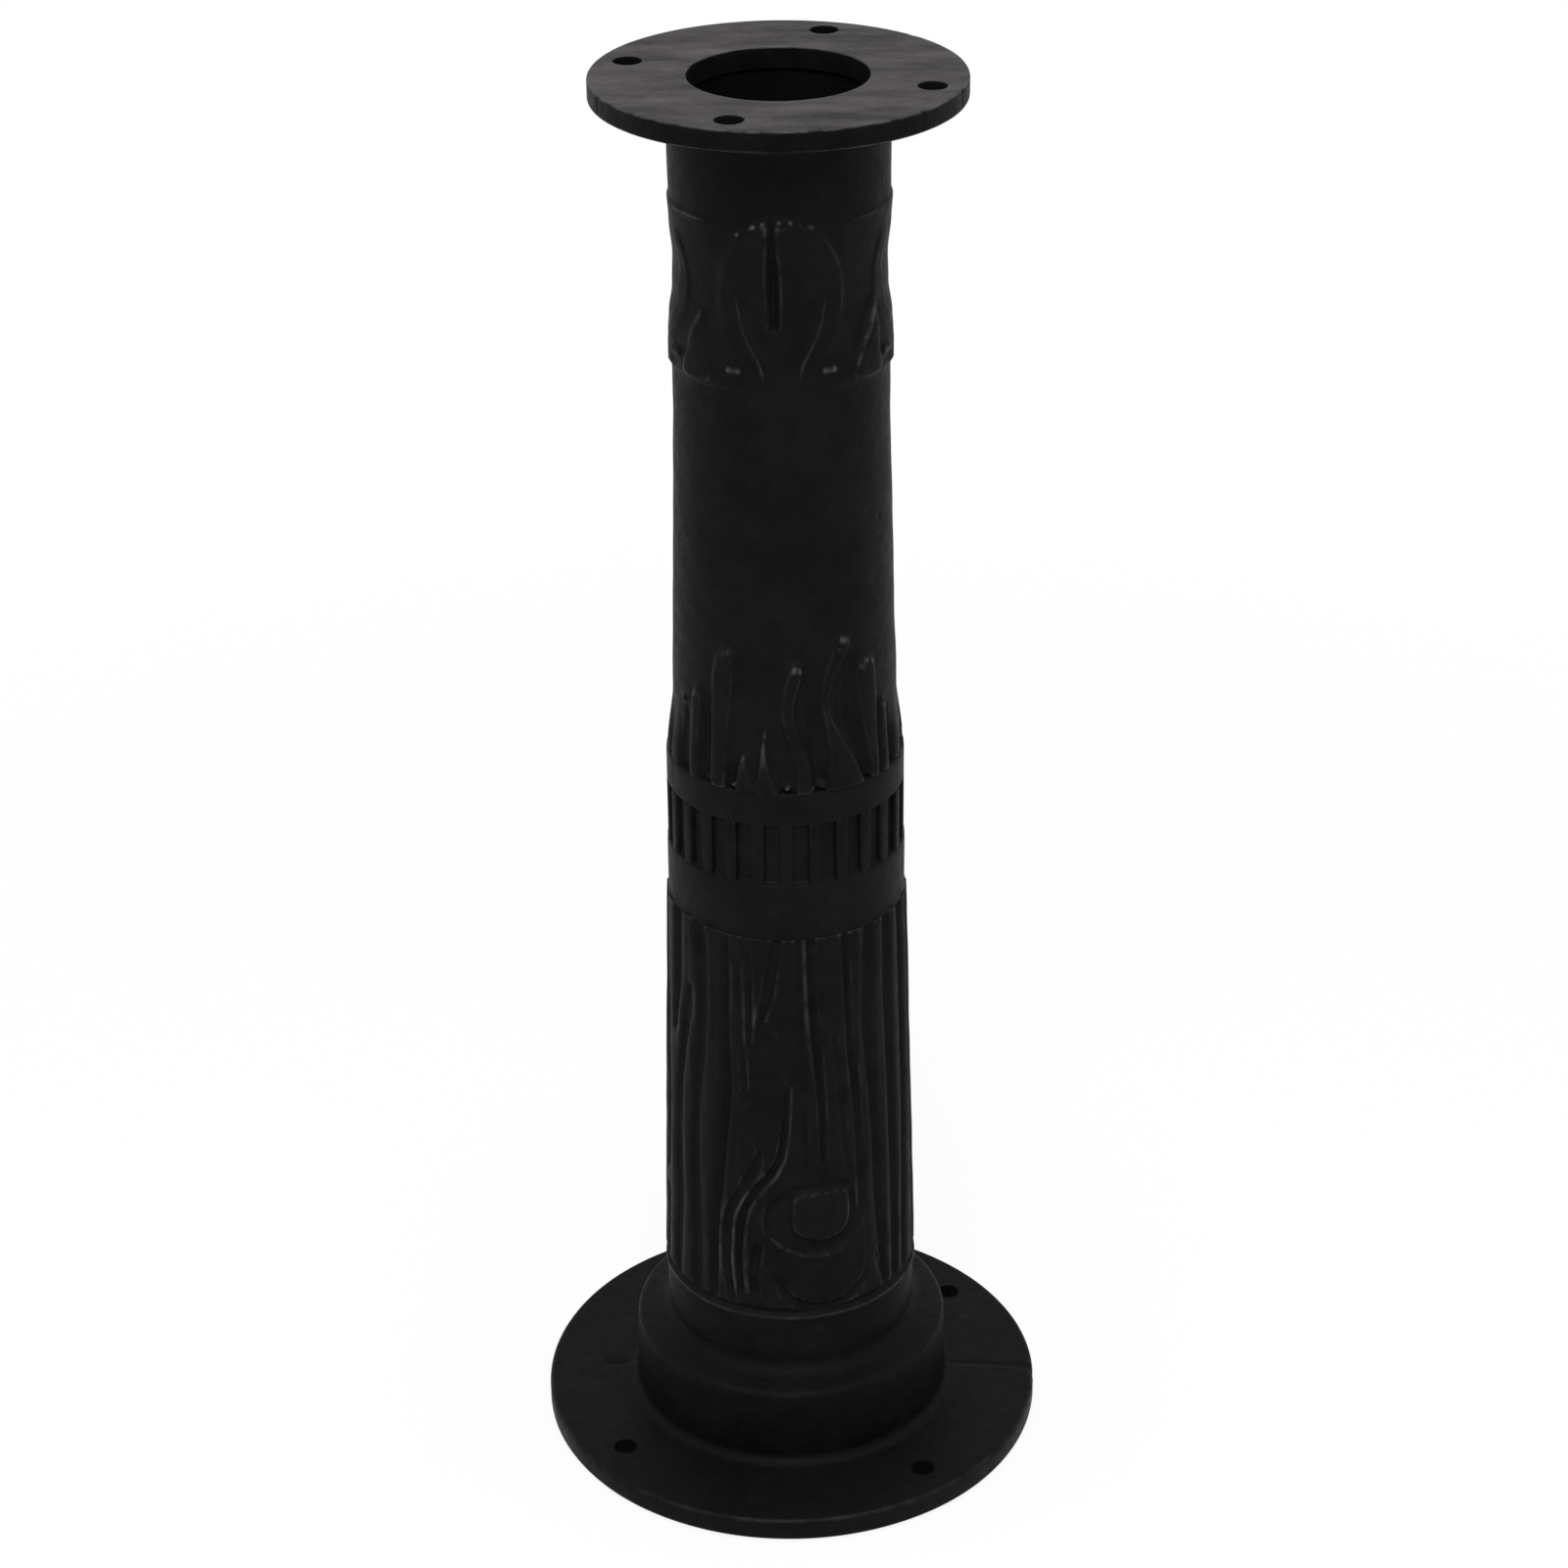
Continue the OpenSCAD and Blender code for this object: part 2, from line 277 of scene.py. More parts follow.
# %% [markdown]
# Both tools need one thing: how far each spot of the sheet is from a line or from an outline. With
# that distance, one small curve decides the edge. A firm edge climbs at once and then stays flat, as
# on a disc. A loaf keeps climbing more and more gently, as the top of a root or a flame does.


# %% Distances on the sheet
def from_line(sheet, points, reach=7):
    """Millimetres to the edge of a line of changing width. Each point is (turn, level, width)."""
    line = bend(sheet.flat(points))
    best = np.full(sheet.height.shape, 99.0)
    for shift in (-180, 0, 180):
        offset = math.radians(shift) * sheet.radius
        for a, b in zip(line[:-1], line[1:]):
            span = max(a[2], b[2]) / 2 + reach
            rows = np.abs(sheet.levels - (a[1] + b[1]) / 2) < span + abs(a[1] - b[1]) / 2
            cols = np.abs(sheet.across[0] - (a[0] + b[0]) / 2 - offset) < span + abs(a[0] - b[0]) / 2
            if not rows.any() or not cols.any():
                continue
            x = sheet.across[:, cols] - a[0] - offset
            y = sheet.up[rows] - a[1]
            dx, dy = b[0] - a[0], b[1] - a[1]
            t = np.clip((x * dx + y * dy) / max(dx * dx + dy * dy, 1e-9), 0, 1)
            away = np.hypot(x - t * dx, y - t * dy) - (a[2] + (b[2] - a[2]) * t) / 2
            spot = np.ix_(rows, cols)
            best[spot] = np.minimum(best[spot], away)
    return best


def into_area(sheet, outline):
    """Millimetres inside a closed, rounded outline of (turn, level) points. Outside is negative."""
    ring = bend(sheet.flat(outline), closed=True)
    best = np.full(sheet.height.shape, -99.0)
    for shift in (-180, 0, 180):
        offset = math.radians(shift) * sheet.radius
        x = np.broadcast_to(sheet.across, best.shape) - offset
        y = np.broadcast_to(sheet.up, best.shape)
        if x.min() > ring[:, 0].max() + 9 or x.max() < ring[:, 0].min() - 9:
            continue
        inside = np.zeros(best.shape, bool)
        away = np.full(best.shape, 99.0)
        for a, b in zip(ring, np.roll(ring, -1, 0)):
            dx, dy = b[0] - a[0], b[1] - a[1]
            t = np.clip(((x - a[0]) * dx + (y - a[1]) * dy) / max(dx * dx + dy * dy, 1e-9), 0, 1)
            away = np.minimum(away, np.hypot(x - a[0] - t * dx, y - a[1] - t * dy))
            if dy != 0:
                crosses = (a[1] > y) != (b[1] > y)
                inside ^= crosses & (x < a[0] + (y - a[1]) * dx / dy)
        best = np.maximum(best, np.where(inside, away, -away))
    return best


def firm(distance, soft=1.4):
    """0 outside and 1 inside, with a short slope between."""
    return ease(distance / soft + 0.5)


def loaf(distance, reach=3.5):
    """0 at the edge, rising ever more gently to 1 at the reach."""
    return np.sqrt(1 - (1 - np.clip(distance / reach, 0, 1)) ** 2)


print("firm edge:", firm(np.array([-1, 0, 1.0])), "loaf:", loaf(np.array([0, 1, 3.5])).round(2))

# %% [markdown]
# ## From heights to a casting
# A casting is a closed loop of radius and level, turned about the middle. The carved run of that loop
# takes its heights from the sheet. A little waviness is added, because a sand mould is never true.


# %% Turn a profile into a mesh
def sand_wave(turns, levels, size=0.12):
    """Slow unevenness of a sand casting, in millimetres."""
    wave = np.zeros((len(levels), len(turns)))
    for times, tall, start in ((2, 61, 0.4), (3, 37, 2.1), (5, 23, 4.0), (9, 13, 1.3), (14, 8, 5.2)):
        wave += np.sin(times * np.radians(turns)[None, :] + np.asarray(levels)[:, None] / tall * 2 + start)
    return wave * size / 5


def turned_mesh(name, profile, columns, carved=None, wave=0.12, shift=None):
    """A closed (radius, level) loop in millimetres, turned. carved = (first row, heights of both halves)."""
    profile = np.asarray(profile, float)
    rows = len(profile)
    turns = np.linspace(-90, 270, columns, endpoint=False)
    radius = np.repeat(profile[:, :1], columns, 1)
    level = np.repeat(profile[:, 1:], columns, 1)
    radius += sand_wave(turns, profile[:, 1], wave)
    if carved is not None:
        first, heights = carved
        radius[first : first + len(heights)] += heights
    if shift is not None:
        radius, level = shift(turns[None, :], radius, level)
    angle = np.radians(turns)[None, :] - math.pi / 2
    points = np.stack([radius * np.cos(angle), radius * np.sin(angle), level], -1).reshape(-1, 3) * MM
    i = np.arange(rows)[:, None]
    j = np.arange(columns)[None, :]
    here, after = i * columns + j, i * columns + (j + 1) % columns
    above, above_after = np.roll(here, -1, 0), np.roll(after, -1, 0)
    quads = np.stack([here, after, above_after, above], -1).reshape(-1, 4)
    corners = points[quads]
    volume = np.einsum("ij,ij->i", corners[:, 0], np.cross(corners[:, 1], corners[:, 2])).sum()
    volume += np.einsum("ij,ij->i", corners[:, 0], np.cross(corners[:, 2], corners[:, 3])).sum()
    if volume < 0:
        quads = quads[:, ::-1]
    mesh = bpy.data.meshes.new(name)
    mesh.from_pydata(points.tolist(), [], quads.tolist())
    mesh.update()
    piece = bpy.data.objects.new(name, mesh)
    bpy.context.scene.collection.objects.link(piece)
    return piece


def round_over(centre, radius, start, stop, steps=8):
    """Points of an arc, for a rounded corner of a profile."""
    a = np.radians(np.linspace(start, stop, steps))
    return list(zip(centre[0] + radius * np.cos(a), centre[1] + radius * np.sin(a)))


print("a profile is in millimetres and the mesh in metres")


# %% Crests, for wear and painted highlights
def mark_crests(piece, spread=2, gain=5):
    """Stores how convex each point is, from -1 in a hollow to 1 on an edge, as the attribute crest."""
    mesh = piece.data
    count = len(mesh.vertices)
    co = np.empty(count * 3, np.float32)
    mesh.vertices.foreach_get("co", co)
    co = co.reshape(-1, 3)
    normal = np.empty(count * 3, np.float32)
    mesh.vertex_normals.foreach_get("vector", normal)
    normal = normal.reshape(-1, 3)
    edges = np.empty(len(mesh.edges) * 2, np.int32)
    mesh.edges.foreach_get("vertices", edges)
    edges = edges.reshape(-1, 2)
    a, b = edges[:, 0], edges[:, 1]
    links = np.maximum(np.bincount(a, minlength=count) + np.bincount(b, minlength=count), 1)
    length = np.linalg.norm(co[a] - co[b], axis=1) + 1e-9
    lean = np.einsum("ij,ij->i", co[a] - co[b], normal[a]) / length**2 * MM
    lean_back = np.einsum("ij,ij->i", co[b] - co[a], normal[b]) / length**2 * MM
    lean = np.clip(lean, -0.5, 0.5)
    lean_back = np.clip(lean_back, -0.5, 0.5)
    crest = (np.bincount(a, lean, count) + np.bincount(b, lean_back, count)) / links
    for _ in range(spread):
        around = np.bincount(a, crest[b], count) + np.bincount(b, crest[a], count)
        crest = 0.5 * crest + 0.5 * around / links
    crest = np.clip(crest * gain, -1, 1)
    mesh.attributes.new("crest", "FLOAT", "POINT").data.foreach_set("value", crest.astype(np.float32))
    return crest


def finish_surface(piece, sharp=38, gain=5):
    """Smooth shading, with edges sharper than the given angle kept crisp."""
    mesh = piece.data
    mesh.shade_smooth()
    work = bmesh.new()
    work.from_mesh(mesh)
    for edge in work.edges:
        if len(edge.link_faces) == 2:
            edge.smooth = edge.calc_face_angle(0) < math.radians(sharp)
    work.to_mesh(mesh)
    work.free()
    crest = mark_crests(piece, gain=gain)
    triangles = sum(len(p.vertices) - 2 for p in mesh.polygons)
    print(f"{piece.name}: {triangles} triangles, crests {crest.min():.2f} to {crest.max():.2f}")


def bare_inside(piece, radius):
    """Faces that look towards the middle, within the given radius, aren't painted."""
    piece.data.materials.append(bare_iron)
    index = len(piece.data.materials) - 1
    bare = 0
    for face in piece.data.polygons:
        out = Vector((face.center.x, face.center.y, 0))
        if out.length < radius * MM and out.length > 0 and face.normal.dot(out.normalized()) < -0.6:
            face.material_index = index
            bare += 1
    print(piece.name, "has", bare, "bare faces inside")


def place(piece, node, slot):
    """The piece stands for a casting of the frame: it goes under the root body and the casting is hidden. slot is not
    used.
    """
    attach(piece, "root")
    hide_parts(node)


# %% [markdown]
# ## Paint
# The stand is sand-cast iron under one coat of satin black paint. Three effects appear in every
# paint, so each is a node group: the grain that the sand leaves, the rubbed paint along crests, which
# also carries a painted highlight on them, and the dust that lies on faces that look up.


# %% Start a node group
def new_group(name, inputs, outputs):
    """A shader group with float inputs {name: value} and outputs {name: socket type}."""
    group = bpy.data.node_groups.new(name, "ShaderNodeTree")
    for title, value in inputs.items():
        socket = group.interface.new_socket(title, in_out="INPUT", socket_type="NodeSocketFloat")
        socket.default_value = value
    for title, kind in outputs.items():
        group.interface.new_socket(title, in_out="OUTPUT", socket_type=kind)
    return group, group.nodes.new("NodeGroupInput"), group.nodes.new("NodeGroupOutput")


def math_node(tree, operation, first, second, clamp=False):
    """A Math node. Each operand is a number or a socket."""
    node = tree.nodes.new("ShaderNodeMath")
    node.operation = operation
    node.use_clamp = clamp
    for socket, value in zip(node.inputs, (first, second)):
        if isinstance(value, (int, float)):
            socket.default_value = value
        else:
            tree.links.new(value, socket)
    return node.outputs[0]


def noise_node(tree, vector, scale, detail=3.0, rough=0.55):
    """Noise over a position. Scale is a number or a socket."""
    node = tree.nodes.new("ShaderNodeTexNoise")
    node.inputs["Detail"].default_value = detail
    node.inputs["Roughness"].default_value = rough
    tree.links.new(vector, node.inputs["Vector"])
    if isinstance(scale, (int, float)):
        node.inputs["Scale"].default_value = scale
    else:
        tree.links.new(scale, node.inputs["Scale"])
    return node.outputs["Fac"]


def remap(tree, value, low, high, to_low=0.0, to_high=1.0):
    """A clamped Map Range node from low..high to to_low..to_high."""
    node = tree.nodes.new("ShaderNodeMapRange")
    node.inputs["From Min"].default_value = low
    node.inputs["From Max"].default_value = high
    node.inputs["To Min"].default_value = to_low
    node.inputs["To Max"].default_value = to_high
    tree.links.new(value, node.inputs["Value"])
    return node.outputs["Result"]


# %% Sand grain
sand_grain, gin, gout = new_group(
    "Sand Grain",
    {"Scale": 900.0, "Lumps": 160.0},
    {"Height": "NodeSocketFloat", "Tone": "NodeSocketFloat", "Specks": "NodeSocketFloat"},
)
spot = sand_grain.nodes.new("ShaderNodeTexCoord").outputs["Object"]
fine = noise_node(sand_grain, spot, gin.outputs["Scale"], 4.0, 0.62)
lumps = noise_node(sand_grain, spot, gin.outputs["Lumps"], 3.0, 0.5)
broad = noise_node(sand_grain, spot, 24.0, 4.0, 0.6)
blotch = noise_node(sand_grain, spot, 85.0, 3.0, 0.6)
pits = sand_grain.nodes.new("ShaderNodeTexVoronoi")
pits.inputs["Scale"].default_value = 420.0
sand_grain.links.new(spot, pits.inputs["Vector"])
pit = remap(sand_grain, pits.outputs["Distance"], 0.05, 0.35)
height = math_node(sand_grain, "ADD", math_node(sand_grain, "MULTIPLY", fine, 0.55), lumps)
height = math_node(sand_grain, "ADD", height, math_node(sand_grain, "MULTIPLY", pit, 0.3))
height = math_node(sand_grain, "ADD", height, math_node(sand_grain, "MULTIPLY", blotch, 0.5))
both = math_node(sand_grain, "MULTIPLY", math_node(sand_grain, "ADD", broad, blotch), 0.5)
sand_grain.links.new(height, gout.inputs["Height"])
sand_grain.links.new(both, gout.inputs["Tone"])
sand_grain.links.new(remap(sand_grain, fine, 0.64, 0.74), gout.inputs["Specks"])
print("sand grain:", len(sand_grain.nodes), "nodes")

# %% Rubbed edges and painted highlights
rubbed_edge_and_highlight, gin, gout = new_group(
    "Rubbed Edge", {"From": 0.25, "To": 0.9, "Patchy": 70.0}, {"Mask": "NodeSocketFloat", "Hollow": "NodeSocketFloat"}
)
crest = rubbed_edge_and_highlight.nodes.new("ShaderNodeAttribute")
crest.attribute_name = "crest"
spot = rubbed_edge_and_highlight.nodes.new("ShaderNodeTexCoord").outputs["Object"]
patchy = remap(rubbed_edge_and_highlight, noise_node(rubbed_edge_and_highlight, spot, gin.outputs["Patchy"], 4.0, 0.65), 0.38, 0.6)
span = rubbed_edge_and_highlight.nodes.new("ShaderNodeMapRange")
rubbed_edge_and_highlight.links.new(crest.outputs["Fac"], span.inputs["Value"])
rubbed_edge_and_highlight.links.new(gin.outputs["From"], span.inputs["From Min"])
rubbed_edge_and_highlight.links.new(gin.outputs["To"], span.inputs["From Max"])
# The mask marks convex crests whichever way they face: worn paint there, and a painted highlight too.
rubbed_edge_and_highlight.links.new(math_node(rubbed_edge_and_highlight, "MULTIPLY", span.outputs["Result"], patchy), gout.inputs["Mask"])
rubbed_edge_and_highlight.links.new(remap(rubbed_edge_and_highlight, crest.outputs["Fac"], -0.1, -0.7), gout.inputs["Hollow"])
print("rubbed edge reads the attribute", crest.attribute_name)

# %% Settled dust
settled_dust, gin, gout = new_group(
    "Settled Dust", {"Amount": 0.5, "Patchy": 30.0, "Stretch": 1.0}, {"Mask": "NodeSocketFloat"}
)
facing = settled_dust.nodes.new("ShaderNodeNewGeometry")
parts = settled_dust.nodes.new("ShaderNodeSeparateXYZ")
settled_dust.links.new(facing.outputs["Normal"], parts.inputs[0])
upward = remap(settled_dust, parts.outputs["Z"], 0.35, 0.95)
spot = settled_dust.nodes.new("ShaderNodeTexCoord").outputs["Object"]
pull = settled_dust.nodes.new("ShaderNodeCombineXYZ")
pull.inputs["X"].default_value = 1.0
pull.inputs["Z"].default_value = 1.0
settled_dust.links.new(gin.outputs["Stretch"], pull.inputs["Y"])
pulled = settled_dust.nodes.new("ShaderNodeVectorMath")
pulled.operation = "MULTIPLY"
settled_dust.links.new(spot, pulled.inputs[0])
settled_dust.links.new(pull.outputs[0], pulled.inputs[1])
streaks = noise_node(settled_dust, pulled.outputs[0], gin.outputs["Patchy"], 6.0, 0.72)
patchy = remap(settled_dust, streaks, 0.36, 0.66, 0.2, 1.0)
laid = math_node(settled_dust, "MULTIPLY", math_node(settled_dust, "MULTIPLY", upward, patchy), gin.outputs["Amount"])
settled_dust.links.new(laid, gout.inputs["Mask"])
print("dust lies on faces that look up")


# %% A black paint
def black_paint(name, coat, rub_and_highlight, dust, tint, rough, gloss, dust_amount, bump=0.25, grain=900.0, stretch=1.0,
                blow_hole_with_shade=None, patchy=70.0):
    """Satin black over cast iron. coat, the rubbed-edge colour, dust and tint are linear colours; the rubbed-edge
    colour is worn paint and also a painted highlight on crests.
    """
    paint = bpy.data.materials.new(name)
    paint.use_nodes = True
    tree = paint.node_tree
    shader = tree.nodes["Principled BSDF"]
    shader.inputs["Metallic"].default_value = 0.0
    shader.inputs["IOR"].default_value = 1.5
    shader.inputs["Specular IOR Level"].default_value = gloss
    sand = tree.nodes.new("ShaderNodeGroup")
    sand.node_tree = sand_grain
    sand.inputs["Scale"].default_value = grain
    # This group gives worn paint on crests and a painted highlight there.
    edge = tree.nodes.new("ShaderNodeGroup")
    edge.node_tree = rubbed_edge_and_highlight
    edge.inputs["Patchy"].default_value = patchy
    lying = tree.nodes.new("ShaderNodeGroup")
    lying.node_tree = settled_dust
    lying.inputs["Amount"].default_value = dust_amount
    lying.inputs["Stretch"].default_value = stretch
    lying.inputs["Patchy"].default_value = 30.0 if stretch == 1 else 18.0

    def mix(fac, under, over):
        node = tree.nodes.new("ShaderNodeMix")
        node.data_type = "RGBA"
        tree.links.new(fac, node.inputs["Factor"])
        for socket, value in ((node.inputs[6], under), (node.inputs[7], over)):
            if isinstance(value, tuple):
                socket.default_value = (*value, 1)
            else:
                tree.links.new(value, socket)
        return node.outputs[2]

    tone = remap(tree, sand.outputs["Tone"], 0.42, 0.6)
    colour = mix(tone, coat, tint)
    # Crests take the rubbed-edge colour: worn paint, and a painted highlight as well.
    colour = mix(edge.outputs["Mask"], colour, rub_and_highlight)
    colour = mix(lying.outputs["Mask"], colour, dust)
    colour = mix(math_node(tree, "MULTIPLY", sand.outputs["Specks"], 0.35), colour, rub_and_highlight)
    height = sand.outputs["Height"]
    if blow_hole_with_shade:
        spot = tree.nodes.new("ShaderNodeTexCoord").outputs["Object"]
        gap = tree.nodes.new("ShaderNodeVectorMath")
        gap.operation = "DISTANCE"
        gap.inputs[1].default_value = blow_hole_with_shade
        tree.links.new(spot, gap.inputs[0])
        pit = remap(tree, gap.outputs["Value"], 0.0007, 0.0017, 1.0, 0.0)
        # Inside the blow hole the colour is near black: painted shade, as the hole is only a dip in the bump.
        colour = mix(pit, colour, (0.0005, 0.0004, 0.0004))
        height = math_node(tree, "SUBTRACT", height, math_node(tree, "MULTIPLY", pit, 4.0))
    tree.links.new(colour, shader.inputs["Base Color"])
    spread = remap(tree, sand.outputs["Height"], 0.85, 1.55, rough - 0.07, rough + 0.1)
    tree.links.new(math_node(tree, "ADD", spread, math_node(tree, "MULTIPLY", lying.outputs["Mask"], 0.12)),
                   shader.inputs["Roughness"])
    relief = tree.nodes.new("ShaderNodeBump")
    relief.inputs["Strength"].default_value = bump
    relief.inputs["Distance"].default_value = 0.0006
    tree.links.new(height, relief.inputs["Height"])
    tree.links.new(relief.outputs["Normal"], shader.inputs["Normal"])
    tree.links.new(edge.outputs["Mask"], shader.inputs["Coat Weight"])
    shader.inputs["Coat Roughness"].default_value = 0.42
    shader.inputs["Coat IOR"].default_value = 1.45
    return paint


# In each paint the second colour is the rubbed-edge colour: worn paint on crests, and a painted highlight there too.
trunk_paint = black_paint("trunk_paint", (0.0040, 0.0040, 0.0041), (0.025, 0.025, 0.025), (0.0085, 0.0084, 0.008),
                          (0.0066, 0.0065, 0.0065), 0.48, 0.04, 0.5, bump=0.55, blow_hole_with_shade=(0.0408, -0.0236, 0.4740))
base_paint = black_paint("base_paint", (0.0024, 0.0024, 0.0023), (0.015, 0.014, 0.0135), (0.0042, 0.0038, 0.0035),
                         (0.0046, 0.0041, 0.0038), 0.48, 0.05, 0.5, bump=0.7)
flange_paint = black_paint("flange_paint", (0.0022, 0.0022, 0.0023), (0.024, 0.023, 0.023), (0.064, 0.058, 0.060),
                           (0.0048, 0.0044, 0.0045), 0.46, 0.042, 1.0, bump=0.7, stretch=4.0, patchy=120.0)
bare_iron = black_paint("bare_iron", (0.0024, 0.0024, 0.0023), (0.006, 0.0058, 0.0056), (0.004, 0.0039, 0.0037),
                        (0.0044, 0.0043, 0.0041), 0.75, 0.03, 0.3, bump=0.5)
print("paints:", [m.name for m in (trunk_paint, base_paint, flange_paint)])

# %% [markdown]
# ## Lower trunk
# The lower trunk is carved as wood: long gouges that part round a knot where a branch was cut off.
# The gouges are drawn one by one, because wood grain follows no formula that would put the knot
# where the pattern maker put it. Each ends at the plain foot ring.

# %% Levels of the lower trunk
foot_ring_top = 83.5
grain_top = band_foot_z / MM
foot_z = collar_z / MM
grain_levels = np.linspace(foot_ring_top, grain_top, 214)
grain_sheet = Sheet(grain_levels, 216, 56.5)
print("grain sheet:", grain_sheet.height.shape)

# %% Long gouges
long_gouges = [
    [(-84, 286, 4), (-82, 230, 4), (-79, 190, 5), (-79, 150, 4), (-80, 139, 2)],
    [(-78, 127, 2), (-79, 108, 4), (-80, 88, 4)],
    [(-65, 286, 5), (-65, 252, 5), (-66.5, 236, 3), (-68, 222, 2)],
    [(-54, 248, 0.5), (-55.5, 238, 4), (-57.5, 226, 3.5), (-61, 208, 3), (-63, 190, 3), (-64, 160, 4),
     (-63, 140, 5), (-63, 120, 4), (-65, 88, 4)],
    [(-49, 286, 5), (-46, 274, 4), (-45, 250, 4), (-46, 220, 3), (-49, 190, 3), (-50, 160, 4), (-49, 130, 5),
     (-48, 88, 4)],
    [(-31, 281, 1), (-31, 240, 1), (-30, 205, 1.6), (-32, 180, 2), (-34, 158, 2), (-37, 130, 2), (-38, 88, 2)],
    [(42, 286, 3), (41, 262, 3), (40, 236, 3), (42, 205, 2), (44, 175, 2), (45, 140, 2), (47, 110, 1.6),
     (49, 90, 1.6)],
    [(55, 286, 4), (55, 240, 4), (56, 190, 3), (57, 140, 3), (57, 88, 3)],
    [(68, 286, 4), (69, 240, 4), (69, 180, 3), (67, 120, 3), (66, 88, 2)],
    [(82, 286, 3), (83, 180, 4), (82, 88, 3)],
]
for points in long_gouges:
    grain_sheet.lower(2.6 * (1 - loaf(from_line(grain_sheet, points), 4.6)))
print("long gouges:", len(long_gouges))

# %% Short gouges round the knot
short_gouges = [
    [(5, 285, 0.8), (5.5, 250, 0.8), (6, 215, 0.8), (7, 185, 1), (7.5, 165, 0.4)],
    [(11, 286, 2.6), (11.2, 262, 2.2), (12, 240, 1.6), (14, 215, 1.4), (15.5, 195, 1.2), (16, 166, 0.5)],
    [(28, 285, 1), (29, 250, 1), (30, 225, 1.4), (33, 200, 2.2), (34, 175, 2), (35, 148, 2.4), (34, 134, 2.4),
     (29, 125, 2)],
    [(21.5, 233, 0.6), (24, 210, 0.8), (25.5, 185, 0.8), (28, 160, 0.4)],
    [(-5, 286, 2.6), (-7.5, 268, 3.2), (-10.5, 252, 2.6), (-14, 240, 0.8)],
    [(-19, 276, 0.5), (-18.5, 250, 0.8), (-19, 228, 1)],
    [(-24, 270, 0.6), (-23.5, 240, 0.8), (-20, 200, 0.6)],
    [(-13, 174, 0.8), (-18, 160, 2.6), (-24, 148, 2.8), (-29, 138, 3), (-30.5, 124, 3.2), (-30.5, 108, 2.6),
     (-28, 90, 1.6)],
    [(-6, 104, 1), (-3, 97.5, 1.6), (1, 92.5, 2.2), (8, 89, 2.4), (18, 88, 2.4), (27, 90.5, 2.2),
     (33, 95.5, 1.8), (37, 102, 1)],
    [(-15, 121, 2), (-17, 110, 3), (-17, 98, 2), (-12, 91, 2)],
    [(43, 109, 0.6), (45, 100, 1.4), (48.5, 91, 1)],
]
for points in short_gouges:
    deep = min(2.1, 1.1 + 0.5 * max(width for _, _, width in points))
    grain_sheet.lower(deep * (1 - loaf(from_line(grain_sheet, points), 2.8)))
print("short gouges:", len(short_gouges))

# %% [markdown]
# The knot is a flat disc with a moat round it, and under the moat the bark swells like a lip. A flat
# panel lies beside it, where a strip of bark is gone. These are areas, so each is an outline. The
# moat and the panel are sunk first, the disc is set back in, and the lip and small spikes come last.

# %% Knot, panel, lip and spikes
panel = [(-15, 238), (-10, 241), (-5, 232), (-2.5, 214), (-2, 190), (-4, 173), (-10, 168), (-15, 176), (-18, 196),
         (-18, 220)]
moat = [(-13, 136), (-10.5, 146), (-5, 153), (3, 157), (12, 158), (22, 158), (30, 155), (34, 146), (34.5, 134),
        (31, 123), (24, 117.5), (15, 115.6), (7, 116.8), (0, 119.8), (-6, 124.4), (-11.5, 129.5)]
disc = [(1, 131.5), (0.5, 141), (1.5, 149), (8, 151), (20, 151.3), (27, 149.5), (29, 141), (28, 131.5),
        (23.5, 126), (15, 124), (7, 126)]
lip = [(-13.5, 132), (-8.5, 125.4), (-2, 120.2), (5, 117.2), (13, 115.4), (21, 116.2), (28, 118.4), (34, 113),
       (37, 104), (32, 97), (24, 92), (12, 91), (3, 94.5), (-2, 99.5), (-6, 107), (-10.5, 117), (-13.5, 126)]
finger = [(-14, 112), (-10.5, 114.5), (-7, 112), (-7, 100), (-8, 90), (-14.5, 90), (-14.5, 100)]
spike = [(34.5, 110), (38, 113.5), (41.8, 111), (44, 101), (47, 91), (46, 87), (37, 87), (37.5, 100)]
grain_sheet.lower(1.2 * firm(into_area(grain_sheet, panel), 2.4))
inside = into_area(grain_sheet, moat)
upper_part = ease((grain_sheet.up - 143) / 8)
grain_sheet.lower((3.0 - 1.1 * upper_part) * ease(inside / (3.4 + 2.4 * upper_part) + 0.05))
grain_sheet.set_to(firm(into_area(grain_sheet, disc), 1.5 + 1.3 * ease((140 - grain_sheet.up) / 8)), 0)
inside = into_area(grain_sheet, lip)
grain_sheet.set_to(firm(inside, 1.8), 0.2 + 0.9 * loaf(inside, 6) * ease((grain_sheet.up - 90) / 26))
for outline in (finger, spike):
    inside = into_area(grain_sheet, outline)
    grain_sheet.set_to(firm(inside, 1.2), 1.3 * loaf(inside, 3) * ease((grain_sheet.up - 86) / 18))
lit_edges = [
    [(-13, 132.5, 0.8), (-8.5, 126.2, 1.6), (-2, 121, 2.2), (5, 118.2, 2.4), (13, 116.4, 2.4), (21, 117, 2), (26, 118.6, 0.8)],
    [(3, 148.8, 0.6), (9, 150.2, 1.6), (18, 150.8, 2), (27, 150.2, 1.2)],
    [(36, 109.5, 1.6), (39, 112.2, 2.6), (42, 110.6, 1.8)],
]
for points in lit_edges:
    grain_sheet.lump(loaf(-from_line(grain_sheet, points), 1.1), 2.1)
print("deepest", round(grain_sheet.height.min(), 2), "highest", round(grain_sheet.height.max(), 2), "mm")

